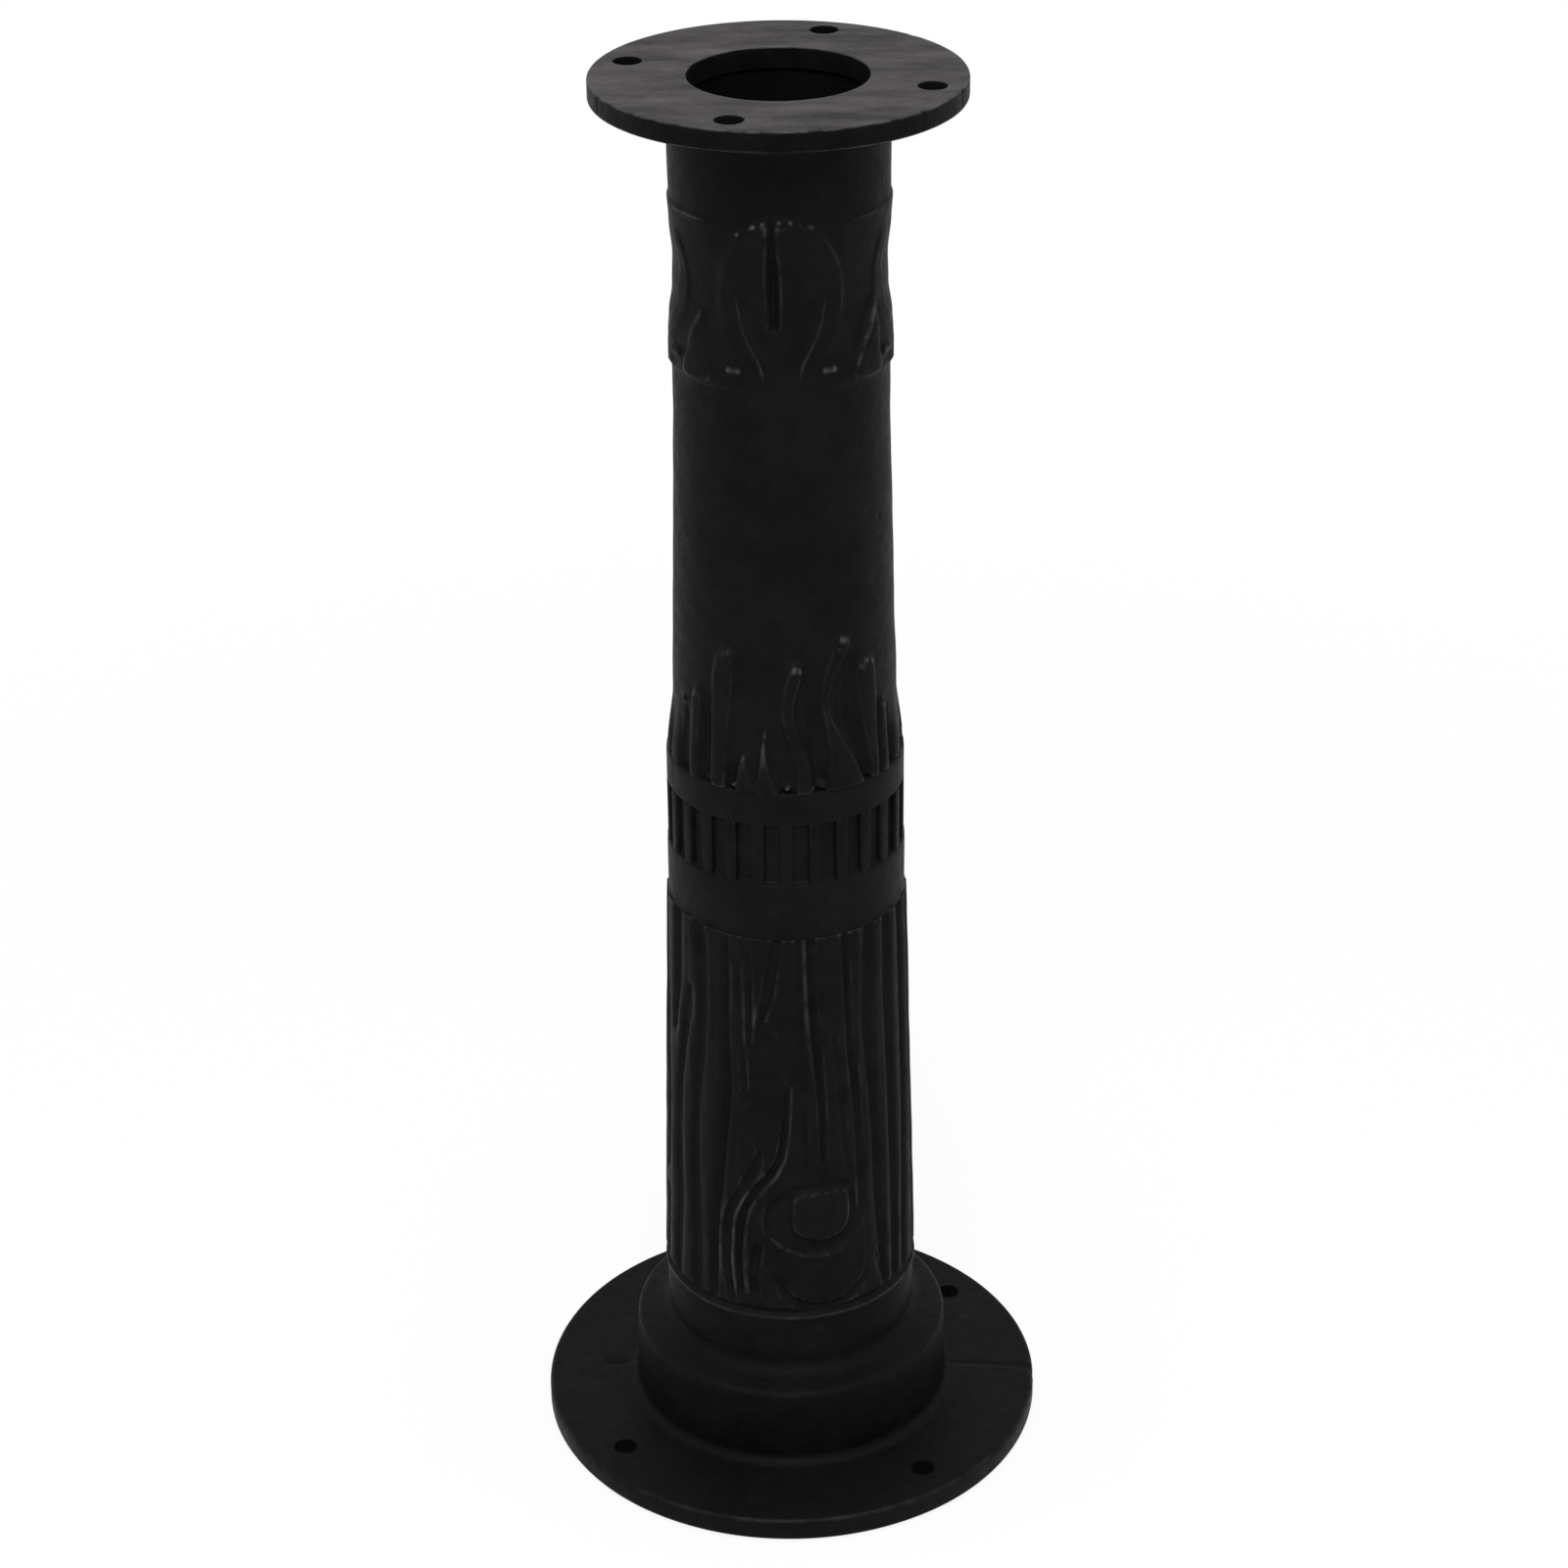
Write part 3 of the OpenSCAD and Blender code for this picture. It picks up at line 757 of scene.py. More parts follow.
# %% The root that leans past the knot
root = [(1.5, 215, 1.6), (0.6, 188, 2.4), (-1.5, 171, 3), (-6, 160.5, 3.6), (-11, 153.5, 4), (-16.3, 144, 4.2),
        (-18.8, 136, 4), (-20.3, 124, 3.8), (-20.8, 110, 3.4), (-20, 96, 3)]
beside = [(-1.2, 208, 0.5), (-2, 188, 1.2), (-4.5, 171, 1.8), (-9.5, 159.5, 2.2), (-15.3, 152, 2.4),
          (-20, 144.5, 2.4), (-22.6, 136, 2.4), (-24.3, 125, 2.2), (-24.6, 111, 2), (-23.6, 95, 1.2)]
grain_sheet.lower(2.5 * (1 - loaf(from_line(grain_sheet, beside), 3.2)))
near = from_line(grain_sheet, root)
grain_sheet.set_to(firm(-near, 2.2), 0.65 * loaf(-near, 2.2) - 0.2)
print("the root runs over", root[0][1] - root[-1][1], "mm")

# %% Fine grain and the ledge of the foot ring
across = np.radians(grain_sheet.turns)[None, :]
drift = 0.5 * np.sin(grain_sheet.up / 31) + 0.3 * np.sin(grain_sheet.up / 13 + 1)
fine_grain = sum(np.sin(across * k + drift * s + p) for k, s, p in ((44, 1, 0), (62, -1.3, 1.7), (98, 0.8, 4)))
grain_sheet.height += 0.07 * fine_grain
sink = ease((grain_sheet.up - foot_ring_top) / 1.4) * ease((foot_ring_top + 7 - grain_sheet.up) / 6)
grain_sheet.height = np.minimum(grain_sheet.height, 0.6 - 2.9 * sink * np.ones_like(across))
grain_sheet.soften()
grain_sheet.height *= ease((grain_sheet.up - foot_ring_top) / 1.2 + 0.02)
print("fine grain is", round(0.07 * fine_grain.max(), 2), "mm high")

# %% Lower trunk casting
lower_foot_r = lower_high.x / MM
lower_top_r = lower_foot_r - 5.0
lower_wall = 6.5
socket_r = 46.2
shoulder = [(52, foot_z - 2), (57.8, foot_z - 1.2), (58.4, foot_z + 4), (58.6, 70), (58.9, 79), (59.4, 81.5), (59.6, 82.6)]
skin = [
    (lower_foot_r - (lower_foot_r - lower_top_r) * (z - foot_ring_top) / (grain_top - foot_ring_top), z)
    for z in grain_levels
]
hollow = [(socket_r, grain_top), (socket_r, grain_top - 21), (lower_top_r - lower_wall - 1, grain_top - 24),
          (lower_foot_r - lower_wall, foot_ring_top), (lower_foot_r - lower_wall, foot_z + 13), (45.5, foot_z),
          (45.5, foot_z - 25), (52, foot_z - 25)]
profile = shoulder + skin + hollow
both_halves = np.tile(grain_sheet.height, (1, 2))
lower_trunk = turned_mesh("lower_trunk_skin", profile, 432, (len(shoulder), both_halves), wave=0.2)
lower_trunk.data.materials.append(trunk_paint)
bare_inside(lower_trunk, 54)
finish_surface(lower_trunk, gain=4.4)
place(lower_trunk, "lower_trunk", "trunk_paint")

# %% [markdown]
# ## Upper trunk
# From the band upwards come flame-like pads of bark, a plain shaft, and a capital. The capital has an
# arch on each of four sides, a leaf between each two arches, and small toes beside the arch legs.

# %% Flames
flame_levels = np.linspace(band_top_z / MM, 430, 76)
flame_sheet = Sheet(flame_levels, 200, 50.5)
tall_flames = [
    [(-53.5, 357), (-54, 372), (-53.5, 386), (-52.5, 396), (-48, 398.5), (-44.5, 394), (-46, 380), (-47, 357)],
    [(-38.5, 357), (-39.5, 380), (-39.5, 400), (-37.5, 416), (-31, 422), (-25, 419), (-25.5, 402), (-27.5, 384),
     (-30.5, 357)],
    [(-24.5, 357), (-24, 367), (-21, 373), (-17, 366), (-14.5, 357)],
    [(-15, 357), (-14, 367), (-12, 379), (-10.3, 387), (-8.7, 374), (-5.5, 363), (-3, 357)],
    [(5.5, 357), (4, 370), (0, 381), (-2.6, 392), (-2, 404), (2, 415.5), (8, 416.5), (9.2, 411), (6, 400),
     (5.5, 391), (9, 379), (12.5, 369), (13, 357)],
    [(20.5, 357), (21, 372), (18.5, 387), (16.3, 399), (19, 412), (24.5, 424), (30, 428.5), (35, 424.5), (30, 414),
     (24.5, 404), (23.5, 395), (27, 385), (32.5, 375), (37.5, 366), (41, 357)],
    [(46, 357), (43.5, 368), (40, 383), (37, 398), (36.5, 409), (41, 414.5), (48.5, 413), (51.5, 404),
     (52, 357)],
    [(54, 357), (53.5, 383), (56.5, 389.5), (60, 385), (60, 357)],
]
side_flames = [
    [(-89, 357), (-89, 376), (-85, 385), (-81, 380), (-80, 357)],
    [(-75, 357), (-74, 376), (-70, 384), (-66, 378), (-65, 357)],
    [(69, 357), (68.5, 374), (72, 384), (77, 380), (78, 357)],
]
for outlines, rise in ((tall_flames, 2.5), (side_flames, 1.5)):
    for outline in outlines:
        outline = [(t, z - 4) if z < 358 else (t, z) for t, z in outline]
        inside = into_area(flame_sheet, outline)
        top = 1 if rise > 2 else np.clip((384 - flame_sheet.up) / 22, 0, 1)
        flame_sheet.raise_to(rise * top * firm(inside, 1.5) * (0.3 + 0.7 * loaf(inside, 3.8)))
gaps = [
    [(-60, 357, 4), (-60, 372, 4), (-59, 386, 1.5)],
    [(-42.5, 357, 3), (-43, 380, 2.5), (-42.5, 396, 1)],
    [(-27, 357, 3), (-26.5, 368, 1.5)],
    [(0, 357, 4), (-1, 366, 2.5)],
    [(16.5, 357, 4), (15.5, 370, 4.5), (13.5, 384, 4.5), (12, 396, 3), (11.5, 404, 1)],
    [(43.5, 357, 2), (40, 370, 2.5), (35, 382, 3), (31.5, 394, 3), (33, 406, 1.5)],
    [(64.5, 357, 4), (64, 372, 3.5), (63.5, 384, 1)],
]
for points in gaps:
    flame_sheet.height -= 1.3 * firm(-from_line(flame_sheet, points), 2.2) * (flame_sheet.height < 0.3)
flecks = [
    (-61, 389, 2, 2.2), (-49.5, 396.5, 3, 2.9), (-30, 419.5, 4, 3.1), (-27.5, 417, 2.4, 2.9), (-21, 371.5, 1.6, 2.8),
    (-9.8, 383, 2, 3.0), (1.5, 384, 1.6, 2.9), (4.5, 414, 2.6, 3.2), (7.5, 414, 2.2, 3.1), (27.5, 421.5, 2, 3.2),
    (29.5, 425.5, 3.4, 3.5), (40.8, 410.5, 3, 3.3), (43.5, 412.8, 2.6, 3.4), (47.5, 411.5, 2, 3.1), (56.3, 388, 2.6, 2.9),
    (-41, 358.4, 2.4, 2.4), (-26.2, 358.4, 2.6, 2.6), (-24.5, 359.6, 1.4, 2.4), (0.6, 358.2, 3, 2.4),
    (13.5, 358.2, 2.6, 2.5), (17.3, 358.6, 3, 2.7), (20, 358.2, 1.8, 2.4), (45, 358.6, 2.8, 2.6),
]


def stick_flecks(sheet, flecks):
    """Small lumps where sand or paint stuck. Each is (turn, level, width, rise)."""
    for turn, level, width, rise in flecks:
        dot = [(turn - 0.3, level, width), (turn + 0.3, level, width)]
        sheet.lump(loaf(-from_line(sheet, dot), width * 0.45), rise)


stick_flecks(flame_sheet, flecks)
flame_sheet.soften()
print("flames:", len(tall_flames) + len(side_flames), "height", round(flame_sheet.height.max(), 2), "mm")

# %% Capital
capital_foot = 538
capital_levels = np.linspace(capital_foot, 616.5, 88)
capital_sheet = Sheet(capital_levels, 200, 46.5)
outer_arch = [(0, 613.4), (8, 613), (15, 611), (20.5, 607.5), (26, 601.5), (30.5, 594), (33, 586), (34, 578),
              (32, 567), (26.5, 558), (20, 551), (16.5, 545), (15.5, 536)]
inner_arch = [(0, 606), (8, 605), (13, 602), (17, 597.5), (20, 590), (21, 580), (19.5, 570), (16, 563), (12.5, 557.5),
              (9, 552), (7.5, 545), (7.5, 536)]


def both_sides(points, turn):
    """A half outline and its mirror half, about the given turn."""
    return [(turn + t, z) for t, z in points] + [(turn - t, z) for t, z in points[:0:-1]]


for turn in (0, 90):
    inside = into_area(capital_sheet, both_sides(outer_arch, turn))
    hollow = into_area(capital_sheet, both_sides(inner_arch, turn))
    slow = 1.4 + 4 * ease((-capital_sheet.turns[None, :] - 12) / 8) * (turn == 0)
    slow = slow + 5 * ease((577 - capital_sheet.up) / 12)
    rim = 1.7 + 6 * ease((capital_sheet.up - 572) / 14)
    band = firm(inside, slow) * (1 - firm(hollow, rim))
    rise = 1.5 if turn == 0 else 0.8 * ease((604 - capital_sheet.up) / 10)
    capital_sheet.raise_to(rise * band)
    deep = 0.6 + 0.9 * ease((592 - capital_sheet.up) / 20)
    capital_sheet.height -= deep * firm(hollow, rim) * (1 - 0.75 * ease(hollow / 12))
    for side in (-24, 24):
        toe = [(side + turn - 2.2, 548.6, 4.6), (side + turn + 2.2, 548.6, 4.6)]
        capital_sheet.raise_to(2.2 * loaf(-from_line(capital_sheet, toe), 2.2))
left_leaf = [(-57.5, 541), (-55.5, 551), (-51.5, 562), (-45.5, 571), (-43, 562), (-40, 552), (-37.5, 541)]
right_leaf = [(39, 541), (38.5, 549), (43, 556), (49, 564), (56, 573), (58.5, 565), (58.5, 552), (60, 541)]
for outline in (left_leaf, right_leaf):
    inside = into_area(capital_sheet, outline)
    capital_sheet.raise_to(2.0 * firm(inside, 1.8) * (0.35 + 0.65 * loaf(inside, 5)))
slot = [(-4.4, 611.5, 3.2), (-4.6, 599, 4), (-4.4, 590, 5.8), (-4, 578, 5.6), (-3.6, 567.5, 4.4)]
inside = -from_line(capital_sheet, slot)
capital_sheet.height -= 3.6 * firm(inside, 2.2) * (0.2 + 0.8 * np.clip(inside / 2.8, 0, 1))
leaf_edge = [(40, 547, 0.8), (43.5, 555, 1.8), (49, 563, 2.8), (54.5, 570, 2.6), (57, 573, 1)]
capital_sheet.lump(loaf(-from_line(capital_sheet, leaf_edge), 1.5), 3.0)
for bead in ([(-68, 610.2, 0.8), (-52, 610.4, 1.6), (-38, 610.6, 0.6)], [(36, 610.6, 0.6), (46, 610.4, 1.4), (58, 610.2, 0.8)]):
    capital_sheet.lump(loaf(-from_line(capital_sheet, bead), 0.8), 0.8)
stick_flecks(capital_sheet, [(-21.5, 607, 1.6, 2.0), (-13.5, 611, 2.4, 2.3), (-9, 612, 2, 2.2), (-0.4, 612.8, 1.8, 2.2),
                             (5.2, 612.6, 2.4, 2.4), (10, 612, 1.8, 2.2), (15.2, 611, 2.4, 2.4), (21, 607.4, 1.6, 2.0)])
capital_sheet.soften()
leg = ease((24 - np.abs(capital_sheet.turns[None, :])) / 6)
capital_sheet.height *= ease((capital_sheet.up - capital_foot) / (3 + 9 * leg))
capital_sheet.height *= ease((615.4 - capital_sheet.up) / 1.4)
print("capital height", round(capital_sheet.height.max(), 2), "mm")

# %% [markdown]
# The smooth trunk under the carving swells at the foot of the capital, narrows to a waist and opens
# again below the neck. A few listed radii with an eased run between them give that curve.


# %% Upper trunk casting
def through(knots, z):
    """Radius at a level, eased between given (level, radius) knots."""
    for (z0, r0), (z1, r1) in zip(knots[:-1], knots[1:]):
        if z <= z1:
            return r0 + (r1 - r0) * float(ease((z - z0) / (z1 - z0)))
    return knots[-1][1]


capital_knots = [(430, 48.3), (520, 46.1), (537.5, 46.2), (541, 47.2), (551, 47.3), (558, 46.9), (572, 45.2),
                 (584, 44.9), (600, 46.2), (610.4, 46.8), (611.6, 46.15), (641, 46.35)]
flame_knots = [(355, 50.9), (386, 49.4), (430, 48.3)]
shaft_levels = np.linspace(430, capital_foot, 30)[1:-1]
neck_levels = [617.5, 619, 621, 625, 630, 635, 638, 640, hub_z / MM]
skin = [(through(flame_knots, z), z) for z in flame_levels]
skin += [(48.3 - 2.2 * min(1, (z - 430) / 85), z) for z in shaft_levels]
skin += [(through(capital_knots, z), z) for z in capital_levels]
skin += [(through(capital_knots, z), z) for z in neck_levels]
band_top = band_top_z / MM
neck_bore, spigot_bore = 39.7, 39.5
below = [(spigot_bore, band_top - 92), (46, band_top - 92), (46, band_top)]
inside = [(43.25, hub_z / MM), (43.25, stand_h / MM - 10), (neck_bore, stand_h / MM - 10), (neck_bore, 500),
          (44.1, band_top + 13), (spigot_bore, band_top)]
heights = np.concatenate([flame_sheet.height, np.zeros((len(shaft_levels), 200)), capital_sheet.height,
                          np.zeros((len(neck_levels), 200))])
upper_trunk = turned_mesh("upper_trunk_skin", below + skin + inside, 400, (len(below), np.tile(heights, (1, 2))),
                          wave=0.2)
upper_trunk.data.materials.append(trunk_paint)
bare_inside(upper_trunk, 45)
finish_surface(upper_trunk, gain=4.5)
place(upper_trunk, "upper_trunk", "trunk_paint")

# %% [markdown]
# ## Ribbed band
# Two hoops hold a ring of upright ribs. The ribs repeat, so Geometry Nodes make them: one rounded bar
# is set out round the ring, and each is turned to face outwards. The hoops come in as the tree's own
# geometry. Small random changes of size, from a fixed seed, keep the ribs from looking machined.

# %% Hoops
band_r_low, band_r_high = 53.6, 52.8
rib_foot, rib_top = 311, 340
foot = band_foot_z / MM
pocket = 50.9
hoop_profile = [(46.15, foot), (50, foot), (53.95, foot), (53.8, foot + 0.9)]
hoop_profile += [(53.5, z) for z in np.linspace(foot + 2.5, rib_foot - 4, 8)]
hoop_profile += [(53.4, rib_foot - 1.6)] + round_over((52.4, rib_foot - 1), 1, 10, 90, 5)
hoop_profile += [(pocket + 1, rib_foot + 0.2), (pocket + 0.3, rib_foot + 0.9), (pocket, rib_foot + 1.8)]
hoop_profile += [(pocket, z) for z in np.linspace(rib_foot + 4, rib_top - 4, 6)]
hoop_profile += [(pocket, rib_top - 0.8), (pocket + 0.6, rib_top)]
hoop_profile += round_over((52.0, rib_top + 1), 1, -90, -10, 5)
hoop_profile += [(52.95, z) for z in np.linspace(rib_top + 2.5, band_top - 3, 8)]
hoop_profile += round_over((51.8, band_top - 1), 1, 10, 90, 5) + [(46.15, band_top)]


def paint_run(turns, radius, level):
    """A run of thick paint down the front of the upper hoop, with a second short one beside it."""
    for at, top, low, wide in ((-5, 357, 342, 5), (5.5, 348, 341, 3.5), (175, 357, 344, 4)):
        near = np.exp(-(((turns - at - 1.5 * np.sin(level / 3)) / wide) ** 2))
        tall = ease((level - low + 2) / 3) * ease((top - level + 2) / 3)
        radius = radius + 0.45 * near * tall * (radius > 51.5)
    return radius, level


hoops = turned_mesh("ribbed_band_skin", hoop_profile, 360, wave=0.1, shift=paint_run)
print("hoops:", len(hoops.data.polygons), "faces")


# %% One rib
def rounded_bar(name, wide, deep, tall, corner):
    """An upright bar with rounded corners, its inner face at x = 0."""
    mesh = bpy.data.meshes.new(name)
    work = bmesh.new()
    bmesh.ops.create_cube(work, size=1)
    bmesh.ops.scale(work, vec=(deep, wide, tall), verts=work.verts)
    bmesh.ops.translate(work, vec=(deep / 2, 0, 0), verts=work.verts)
    bmesh.ops.bevel(work, geom=work.edges[:], offset=corner, segments=4, profile=0.5, affect="EDGES")
    work.to_mesh(mesh)
    work.free()
    return bpy.data.objects.new(name, mesh)


rib = rounded_bar("rib_shape", 5.6 * MM, 4.3 * MM, (rib_top - rib_foot + 1.6) * MM, 1.1 * MM)
print("one rib:", len(rib.data.polygons), "faces")


# %% Rib tree
def geometry_tree(name, inputs):
    """A Geometry Nodes tree with a geometry input and the named inputs {name: (type, value)}."""
    tree = bpy.data.node_groups.new(name, "GeometryNodeTree")
    tree.interface.new_socket("Geometry", in_out="INPUT", socket_type="NodeSocketGeometry")
    for title, (kind, value) in inputs.items():
        socket = tree.interface.new_socket(title, in_out="INPUT", socket_type=kind)
        if value is not None:
            socket.default_value = value
    tree.interface.new_socket("Geometry", in_out="OUTPUT", socket_type="NodeSocketGeometry")
    return tree, tree.nodes.new("NodeGroupInput"), tree.nodes.new("NodeGroupOutput")


def run_tree(piece, tree, values):
    """Applies a tree with its inputs set by identifier, and leaves a plain mesh."""
    modifier = piece.modifiers.new(tree.name, "NODES")
    modifier.node_group = tree
    for socket in tree.interface.items_tree:
        if socket.in_out == "INPUT" and socket.name in values:
            modifier[socket.identifier] = values[socket.name]
    bpy.context.view_layer.update()
    ready = piece.evaluated_get(bpy.context.evaluated_depsgraph_get())
    result = bpy.data.meshes.new_from_object(ready)
    piece.modifiers.remove(modifier)
    old = piece.data
    piece.data = result
    result.name = piece.name
    bpy.data.meshes.remove(old)
    return piece


ribs, gin, gout = geometry_tree(
    "Ring Of Ribs",
    {"Rib": ("NodeSocketObject", None), "Count": ("NodeSocketInt", 26), "Radius": ("NodeSocketFloat", 0.05),
     "Level": ("NodeSocketFloat", 0.3), "Turn": ("NodeSocketFloat", 0.0), "Unevenness": ("NodeSocketFloat", 0.05),
     "Seed": ("NodeSocketInt", 4), "Paint": ("NodeSocketMaterial", None)},
)
ring = ribs.nodes.new("GeometryNodeMeshCircle")
ring.fill_type = "NONE"
ribs.links.new(gin.outputs["Count"], ring.inputs["Vertices"])
ribs.links.new(gin.outputs["Radius"], ring.inputs["Radius"])
lift = ribs.nodes.new("GeometryNodeTransform")
ribs.links.new(ring.outputs["Mesh"], lift.inputs["Geometry"])
up_by = ribs.nodes.new("ShaderNodeCombineXYZ")
ribs.links.new(gin.outputs["Level"], up_by.inputs["Z"])
ribs.links.new(up_by.outputs[0], lift.inputs["Translation"])
turn_by = ribs.nodes.new("ShaderNodeCombineXYZ")
ribs.links.new(gin.outputs["Turn"], turn_by.inputs["Z"])
ribs.links.new(turn_by.outputs[0], lift.inputs["Rotation"])
place_of = ribs.nodes.new("GeometryNodeInputPosition")
split = ribs.nodes.new("ShaderNodeSeparateXYZ")
ribs.links.new(place_of.outputs[0], split.inputs[0])
bearing = math_node(ribs, "ARCTAN2", split.outputs["Y"], split.outputs["X"])
face_out = ribs.nodes.new("ShaderNodeCombineXYZ")
ribs.links.new(bearing, face_out.inputs["Z"])
shape = ribs.nodes.new("GeometryNodeObjectInfo")
ribs.links.new(gin.outputs["Rib"], shape.inputs["Object"])
jitter = ribs.nodes.new("FunctionNodeRandomValue")
jitter.data_type = "FLOAT_VECTOR"
less = math_node(ribs, "SUBTRACT", 1.0, gin.outputs["Unevenness"])
more = math_node(ribs, "ADD", 1.0, gin.outputs["Unevenness"])
low_size = ribs.nodes.new("ShaderNodeCombineXYZ")
high_size = ribs.nodes.new("ShaderNodeCombineXYZ")
for axis in ("X", "Y"):
    ribs.links.new(less, low_size.inputs[axis])
    ribs.links.new(more, high_size.inputs[axis])
low_size.inputs["Z"].default_value = 1.0
high_size.inputs["Z"].default_value = 1.0
ribs.links.new(low_size.outputs[0], jitter.inputs["Min"])
ribs.links.new(high_size.outputs[0], jitter.inputs["Max"])
ribs.links.new(gin.outputs["Seed"], jitter.inputs["Seed"])
setting = ribs.nodes.new("GeometryNodeInstanceOnPoints")
ribs.links.new(lift.outputs[0], setting.inputs["Points"])
ribs.links.new(shape.outputs["Geometry"], setting.inputs["Instance"])
ribs.links.new(face_out.outputs[0], setting.inputs["Rotation"])
ribs.links.new(jitter.outputs["Value"], setting.inputs["Scale"])
joined = ribs.nodes.new("GeometryNodeJoinGeometry")
ribs.links.new(setting.outputs[0], joined.inputs[0])
ribs.links.new(gin.outputs["Geometry"], joined.inputs[0])
real = ribs.nodes.new("GeometryNodeRealizeInstances")
ribs.links.new(joined.outputs[0], real.inputs[0])
coat = ribs.nodes.new("GeometryNodeSetMaterial")
ribs.links.new(real.outputs[0], coat.inputs["Geometry"])
ribs.links.new(gin.outputs["Paint"], coat.inputs["Material"])
ribs.links.new(coat.outputs[0], gout.inputs["Geometry"])
print("rib tree:", len(ribs.nodes), "nodes")

# %% Set the ribs
rib_outer = 53.2
ribbed_band = run_tree(
    hoops, ribs,
    {"Rib": rib, "Count": 26, "Radius": (rib_outer - 4.3) * MM, "Level": (rib_foot + rib_top) / 2 * MM,
     "Turn": -math.pi / 2, "Unevenness": 0.04, "Seed": 4, "Paint": trunk_paint},
)
bpy.data.objects.remove(rib)
finish_surface(ribbed_band, sharp=50, gain=0.9)
place(ribbed_band, "ribbed_band", "trunk_paint")

# %% [markdown]
# ## Bolt holes
# Both flanges have four plain holes on a circle. One drill shape with a small flare at each end is set
# out on the bolt circle by Geometry Nodes, and a Boolean takes the set out of the flange.


# %% Drill tree
drills, gin, gout = geometry_tree(
    "Bolt Circle",
    {"Count": ("NodeSocketInt", 4), "Circle Radius": ("NodeSocketFloat", 0.1), "Turn": ("NodeSocketFloat", 0.0),
     "Paint": ("NodeSocketMaterial", None)},
)
ring = drills.nodes.new("GeometryNodeMeshCircle")
ring.fill_type = "NONE"
drills.links.new(gin.outputs["Count"], ring.inputs["Vertices"])
drills.links.new(gin.outputs["Circle Radius"], ring.inputs["Radius"])
lift = drills.nodes.new("GeometryNodeTransform")
drills.links.new(ring.outputs["Mesh"], lift.inputs["Geometry"])
turn_by = drills.nodes.new("ShaderNodeCombineXYZ")
drills.links.new(gin.outputs["Turn"], turn_by.inputs["Z"])
drills.links.new(turn_by.outputs[0], lift.inputs["Rotation"])
setting = drills.nodes.new("GeometryNodeInstanceOnPoints")
drills.links.new(lift.outputs[0], setting.inputs["Points"])
drills.links.new(gin.outputs["Geometry"], setting.inputs["Instance"])
real = drills.nodes.new("GeometryNodeRealizeInstances")
drills.links.new(setting.outputs[0], real.inputs[0])
coat = drills.nodes.new("GeometryNodeSetMaterial")
drills.links.new(real.outputs[0], coat.inputs["Geometry"])
drills.links.new(gin.outputs["Paint"], coat.inputs["Material"])
drills.links.new(coat.outputs[0], gout.inputs["Geometry"])
print("drill tree:", len(drills.nodes), "nodes")


# %% Drill a flange
def drill_shape(name, hole_r, low, high, flare=0.5):
    """A drill with a small flare at each face of the flange, in millimetres."""
    outline = [(0, low - 3), (hole_r + flare + 3, low - 3), (hole_r + flare, low), (hole_r, low + flare),
               (hole_r, high - flare), (hole_r + flare, high), (hole_r + flare + 3, high + 3), (0, high + 3)]
    mesh = bpy.data.meshes.new(name)
    work = bmesh.new()
    points = [work.verts.new((r * MM, 0, z * MM)) for r, z in outline]
    edges = [work.edges.new(pair) for pair in zip(points[:-1], points[1:])]
    bmesh.ops.spin(work, geom=points + edges, cent=(0, 0, 0), axis=(0, 0, 1), angle=2 * math.pi, steps=40)
    bmesh.ops.remove_doubles(work, verts=work.verts, dist=1e-6)
    bmesh.ops.recalc_face_normals(work, faces=work.faces)
    work.to_mesh(mesh)
    work.free()
    shape = bpy.data.objects.new(name, mesh)
    bpy.context.scene.collection.objects.link(shape)
    return shape


def drill_flange(piece, inner, circle_r, turn_degrees, hole_r, low, high):
    """Takes four bolt holes out of a flange. Their walls get the inner finish."""
    drill = drill_shape(piece.name + "_drill", hole_r, low, high)
    run_tree(drill, drills, {"Count": 4, "Circle Radius": circle_r * MM, "Turn": math.radians(turn_degrees),
                             "Paint": inner})
    cut = piece.modifiers.new("holes", "BOOLEAN")
    cut.operation = "DIFFERENCE"
    cut.solver = "EXACT"
    cut.object = drill
    cut.material_mode = "TRANSFER"
    bpy.context.view_layer.update()
    ready = piece.evaluated_get(bpy.context.evaluated_depsgraph_get())
    result = bpy.data.meshes.new_from_object(ready)
    piece.modifiers.remove(cut)
    piece.data = result
    bpy.data.objects.remove(drill)
    print(piece.name, "has", len(result.polygons), "faces after drilling")


# %% [markdown]
# ## Base
# The base is a heavy disc with a collar. Where the two halves of the mould met, a fine line of flash
# runs out to the rim on each side, and on one side a chip is missing from the rim.

# %% Base casting
base_r = base_high.x / MM
flange_t = 11.2
base_profile = [(66, 0)]
base_profile += [(r, 0) for r in (80, 95, 108)]
base_profile += round_over((base_r - 2.2, 2.2), 2.2, -90, 0, 6)
base_profile += round_over((base_r - 2.0, flange_t - 2.0), 2.0, 0, 90, 7)
base_profile += [(r, flange_t) for r in np.linspace(base_r - 4, 81, 26)]
base_profile += round_over((79.5, flange_t + 5), 5, -90, -176, 8)
base_profile += [(74.6 - 0.6 * i / 7, z) for i, z in enumerate(np.linspace(flange_t + 7, 44, 8))]
base_profile += round_over((70.8, 47.4), 3.1, 2, 74, 8)
base_profile += [(70.2, 50.75), (67.5, 51.3), (64.5, 52.1), (62, 53.0), (60.3, 54.2), (59.2, 55.6), (58.6, 57.2), (58.1, 59.6)]
base_profile += [(57.5, 59.6), (57.0, 53), (52.15, 53)]
base_profile += [(52.15, 27), (59.65, 27), (59.65, 43.5), (61.6, 45.5), (64, 45.5), (66, 43.5)]


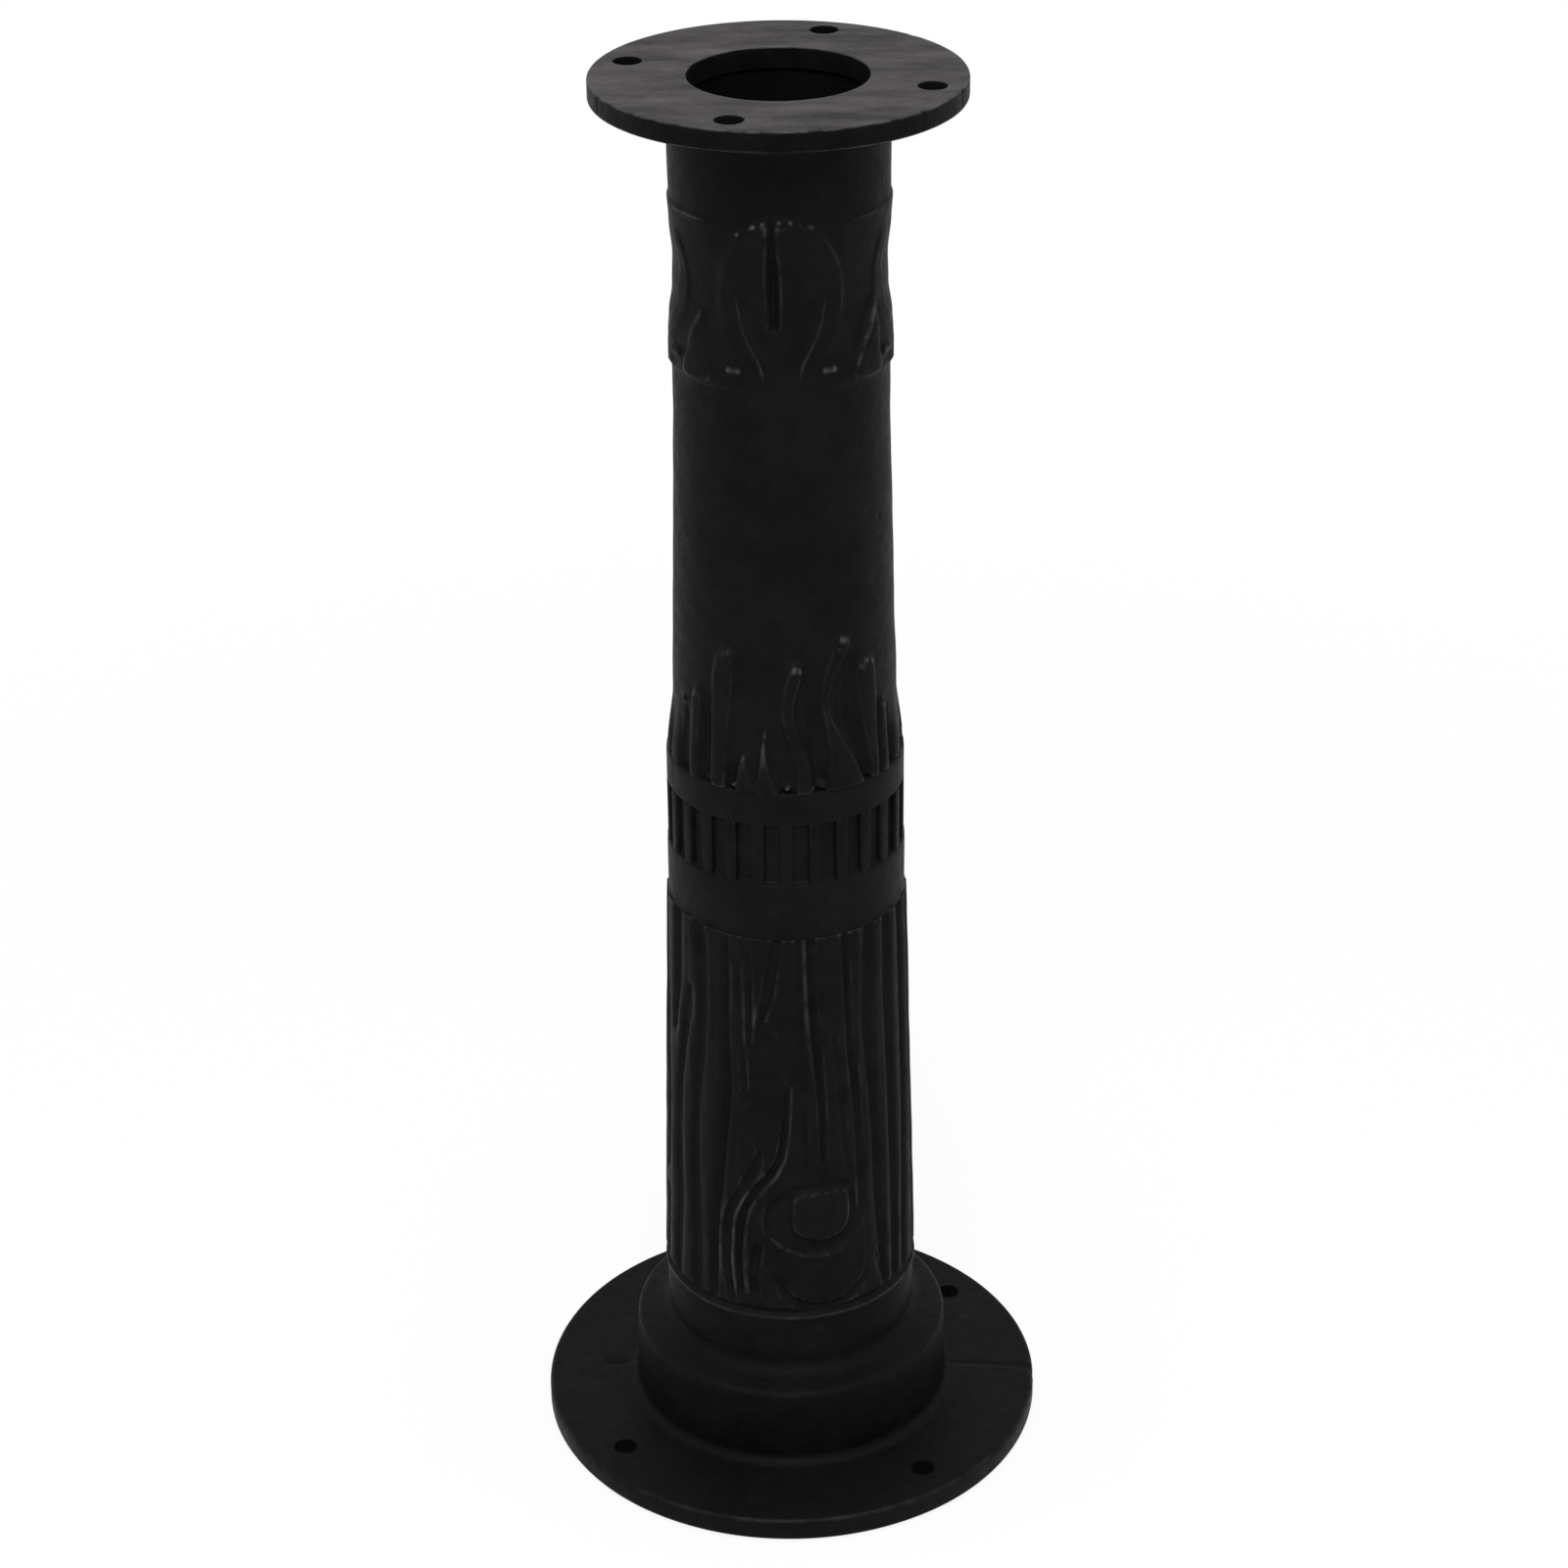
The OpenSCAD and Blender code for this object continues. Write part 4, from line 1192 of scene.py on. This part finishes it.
def mould_marks(turns, radius, level):
    """Flash along the mould's parting line, and a chip out of the rim."""
    on_top = (level > flange_t - 0.4) & (level < flange_t + 3) & (radius > 76)
    right_line = np.exp(-(((turns - 89.0 - 0.06 * (118 - radius)) / 0.8) ** 2))
    left_line = np.exp(-(((turns - 266.6) / 1.5) ** 2)) * ease((93 - radius) / 3) * ease((radius - 79) / 3)
    level = level - on_top * (0.5 * right_line + 1.1 * left_line)
    chip = np.exp(-(((turns - 87.4) / 0.9) ** 2)) * ease((radius - 112) / 5)
    radius = radius - 1.6 * chip * (level > 3)
    sag = 0.35 * np.sin(np.radians(turns) * 2 + 0.7) * ease((radius - 76) / 40) * (level > 5)
    return radius, level + sag * (level < flange_t + 3)


base = turned_mesh("base_skin", base_profile, 480, wave=0.1, shift=mould_marks)
base.data.materials.append(base_paint)
bare_inside(base, 66.5)
drill_flange(base, bare_iron, 100, 37.5, 5.25, 0, flange_t)
finish_surface(base, gain=3)
place(base, "base", "base_paint")

# %% [markdown]
# ## Top flange
# The pump's foot has rubbed this face, so its paint is thinner and greyer than the rest. The rim keeps
# its black paint, with small chips along its edges.

# %% Top flange casting
top_r = flange_high.x / MM
top = stand_h / MM
under = top - 9
hub_low = hub_z / MM
top_profile = [(37.5, under), (43.4, under), (43.4, hub_low), (46.6, hub_low)]
top_profile += round_over((46.4, hub_low + 1), 1, -80, 0, 4)
top_profile += round_over((50.5, under - 3), 3, 180, 95, 6)
top_profile += [(r, under) for r in (54, 60, 68, 74)]
top_profile += round_over((top_r - 1.2, under + 1.2), 1.2, -90, 0, 5)
top_profile += round_over((top_r - 1.1, top - 1.1), 1.1, 0, 90, 5)
top_profile += [(r, top) for r in np.linspace(top_r - 2.5, 40, 30)]
top_profile += round_over((38.4, top - 0.9), 0.9, 90, 180, 5)


def cast_wobble(turns, radius, level):
    """The rim of the top flange isn't quite round, and it has small chips."""
    at_rim = ease((radius - 74) / 3)
    for at, wide, deep in ((-68, 0.8, 0.5), (-31, 0.7, 0.4), (12, 1.0, 0.5), (47, 0.6, 0.5), (71, 0.9, 0.6), (133, 1, 0.5)):
        radius = radius - deep * np.exp(-(((turns - at) / wide) ** 2)) * at_rim * (level > top - 2.5)
    return radius, level


top_flange = turned_mesh("top_flange_skin", top_profile, 400, wave=0.08, shift=cast_wobble)
top_flange.data.materials.append(flange_paint)
bare_inside(top_flange, 44)
drill_flange(top_flange, bare_iron, 65, -17.5, 5.75, under, top)
finish_surface(top_flange, gain=2.4)
place(top_flange, "top_flange", "flange_paint")
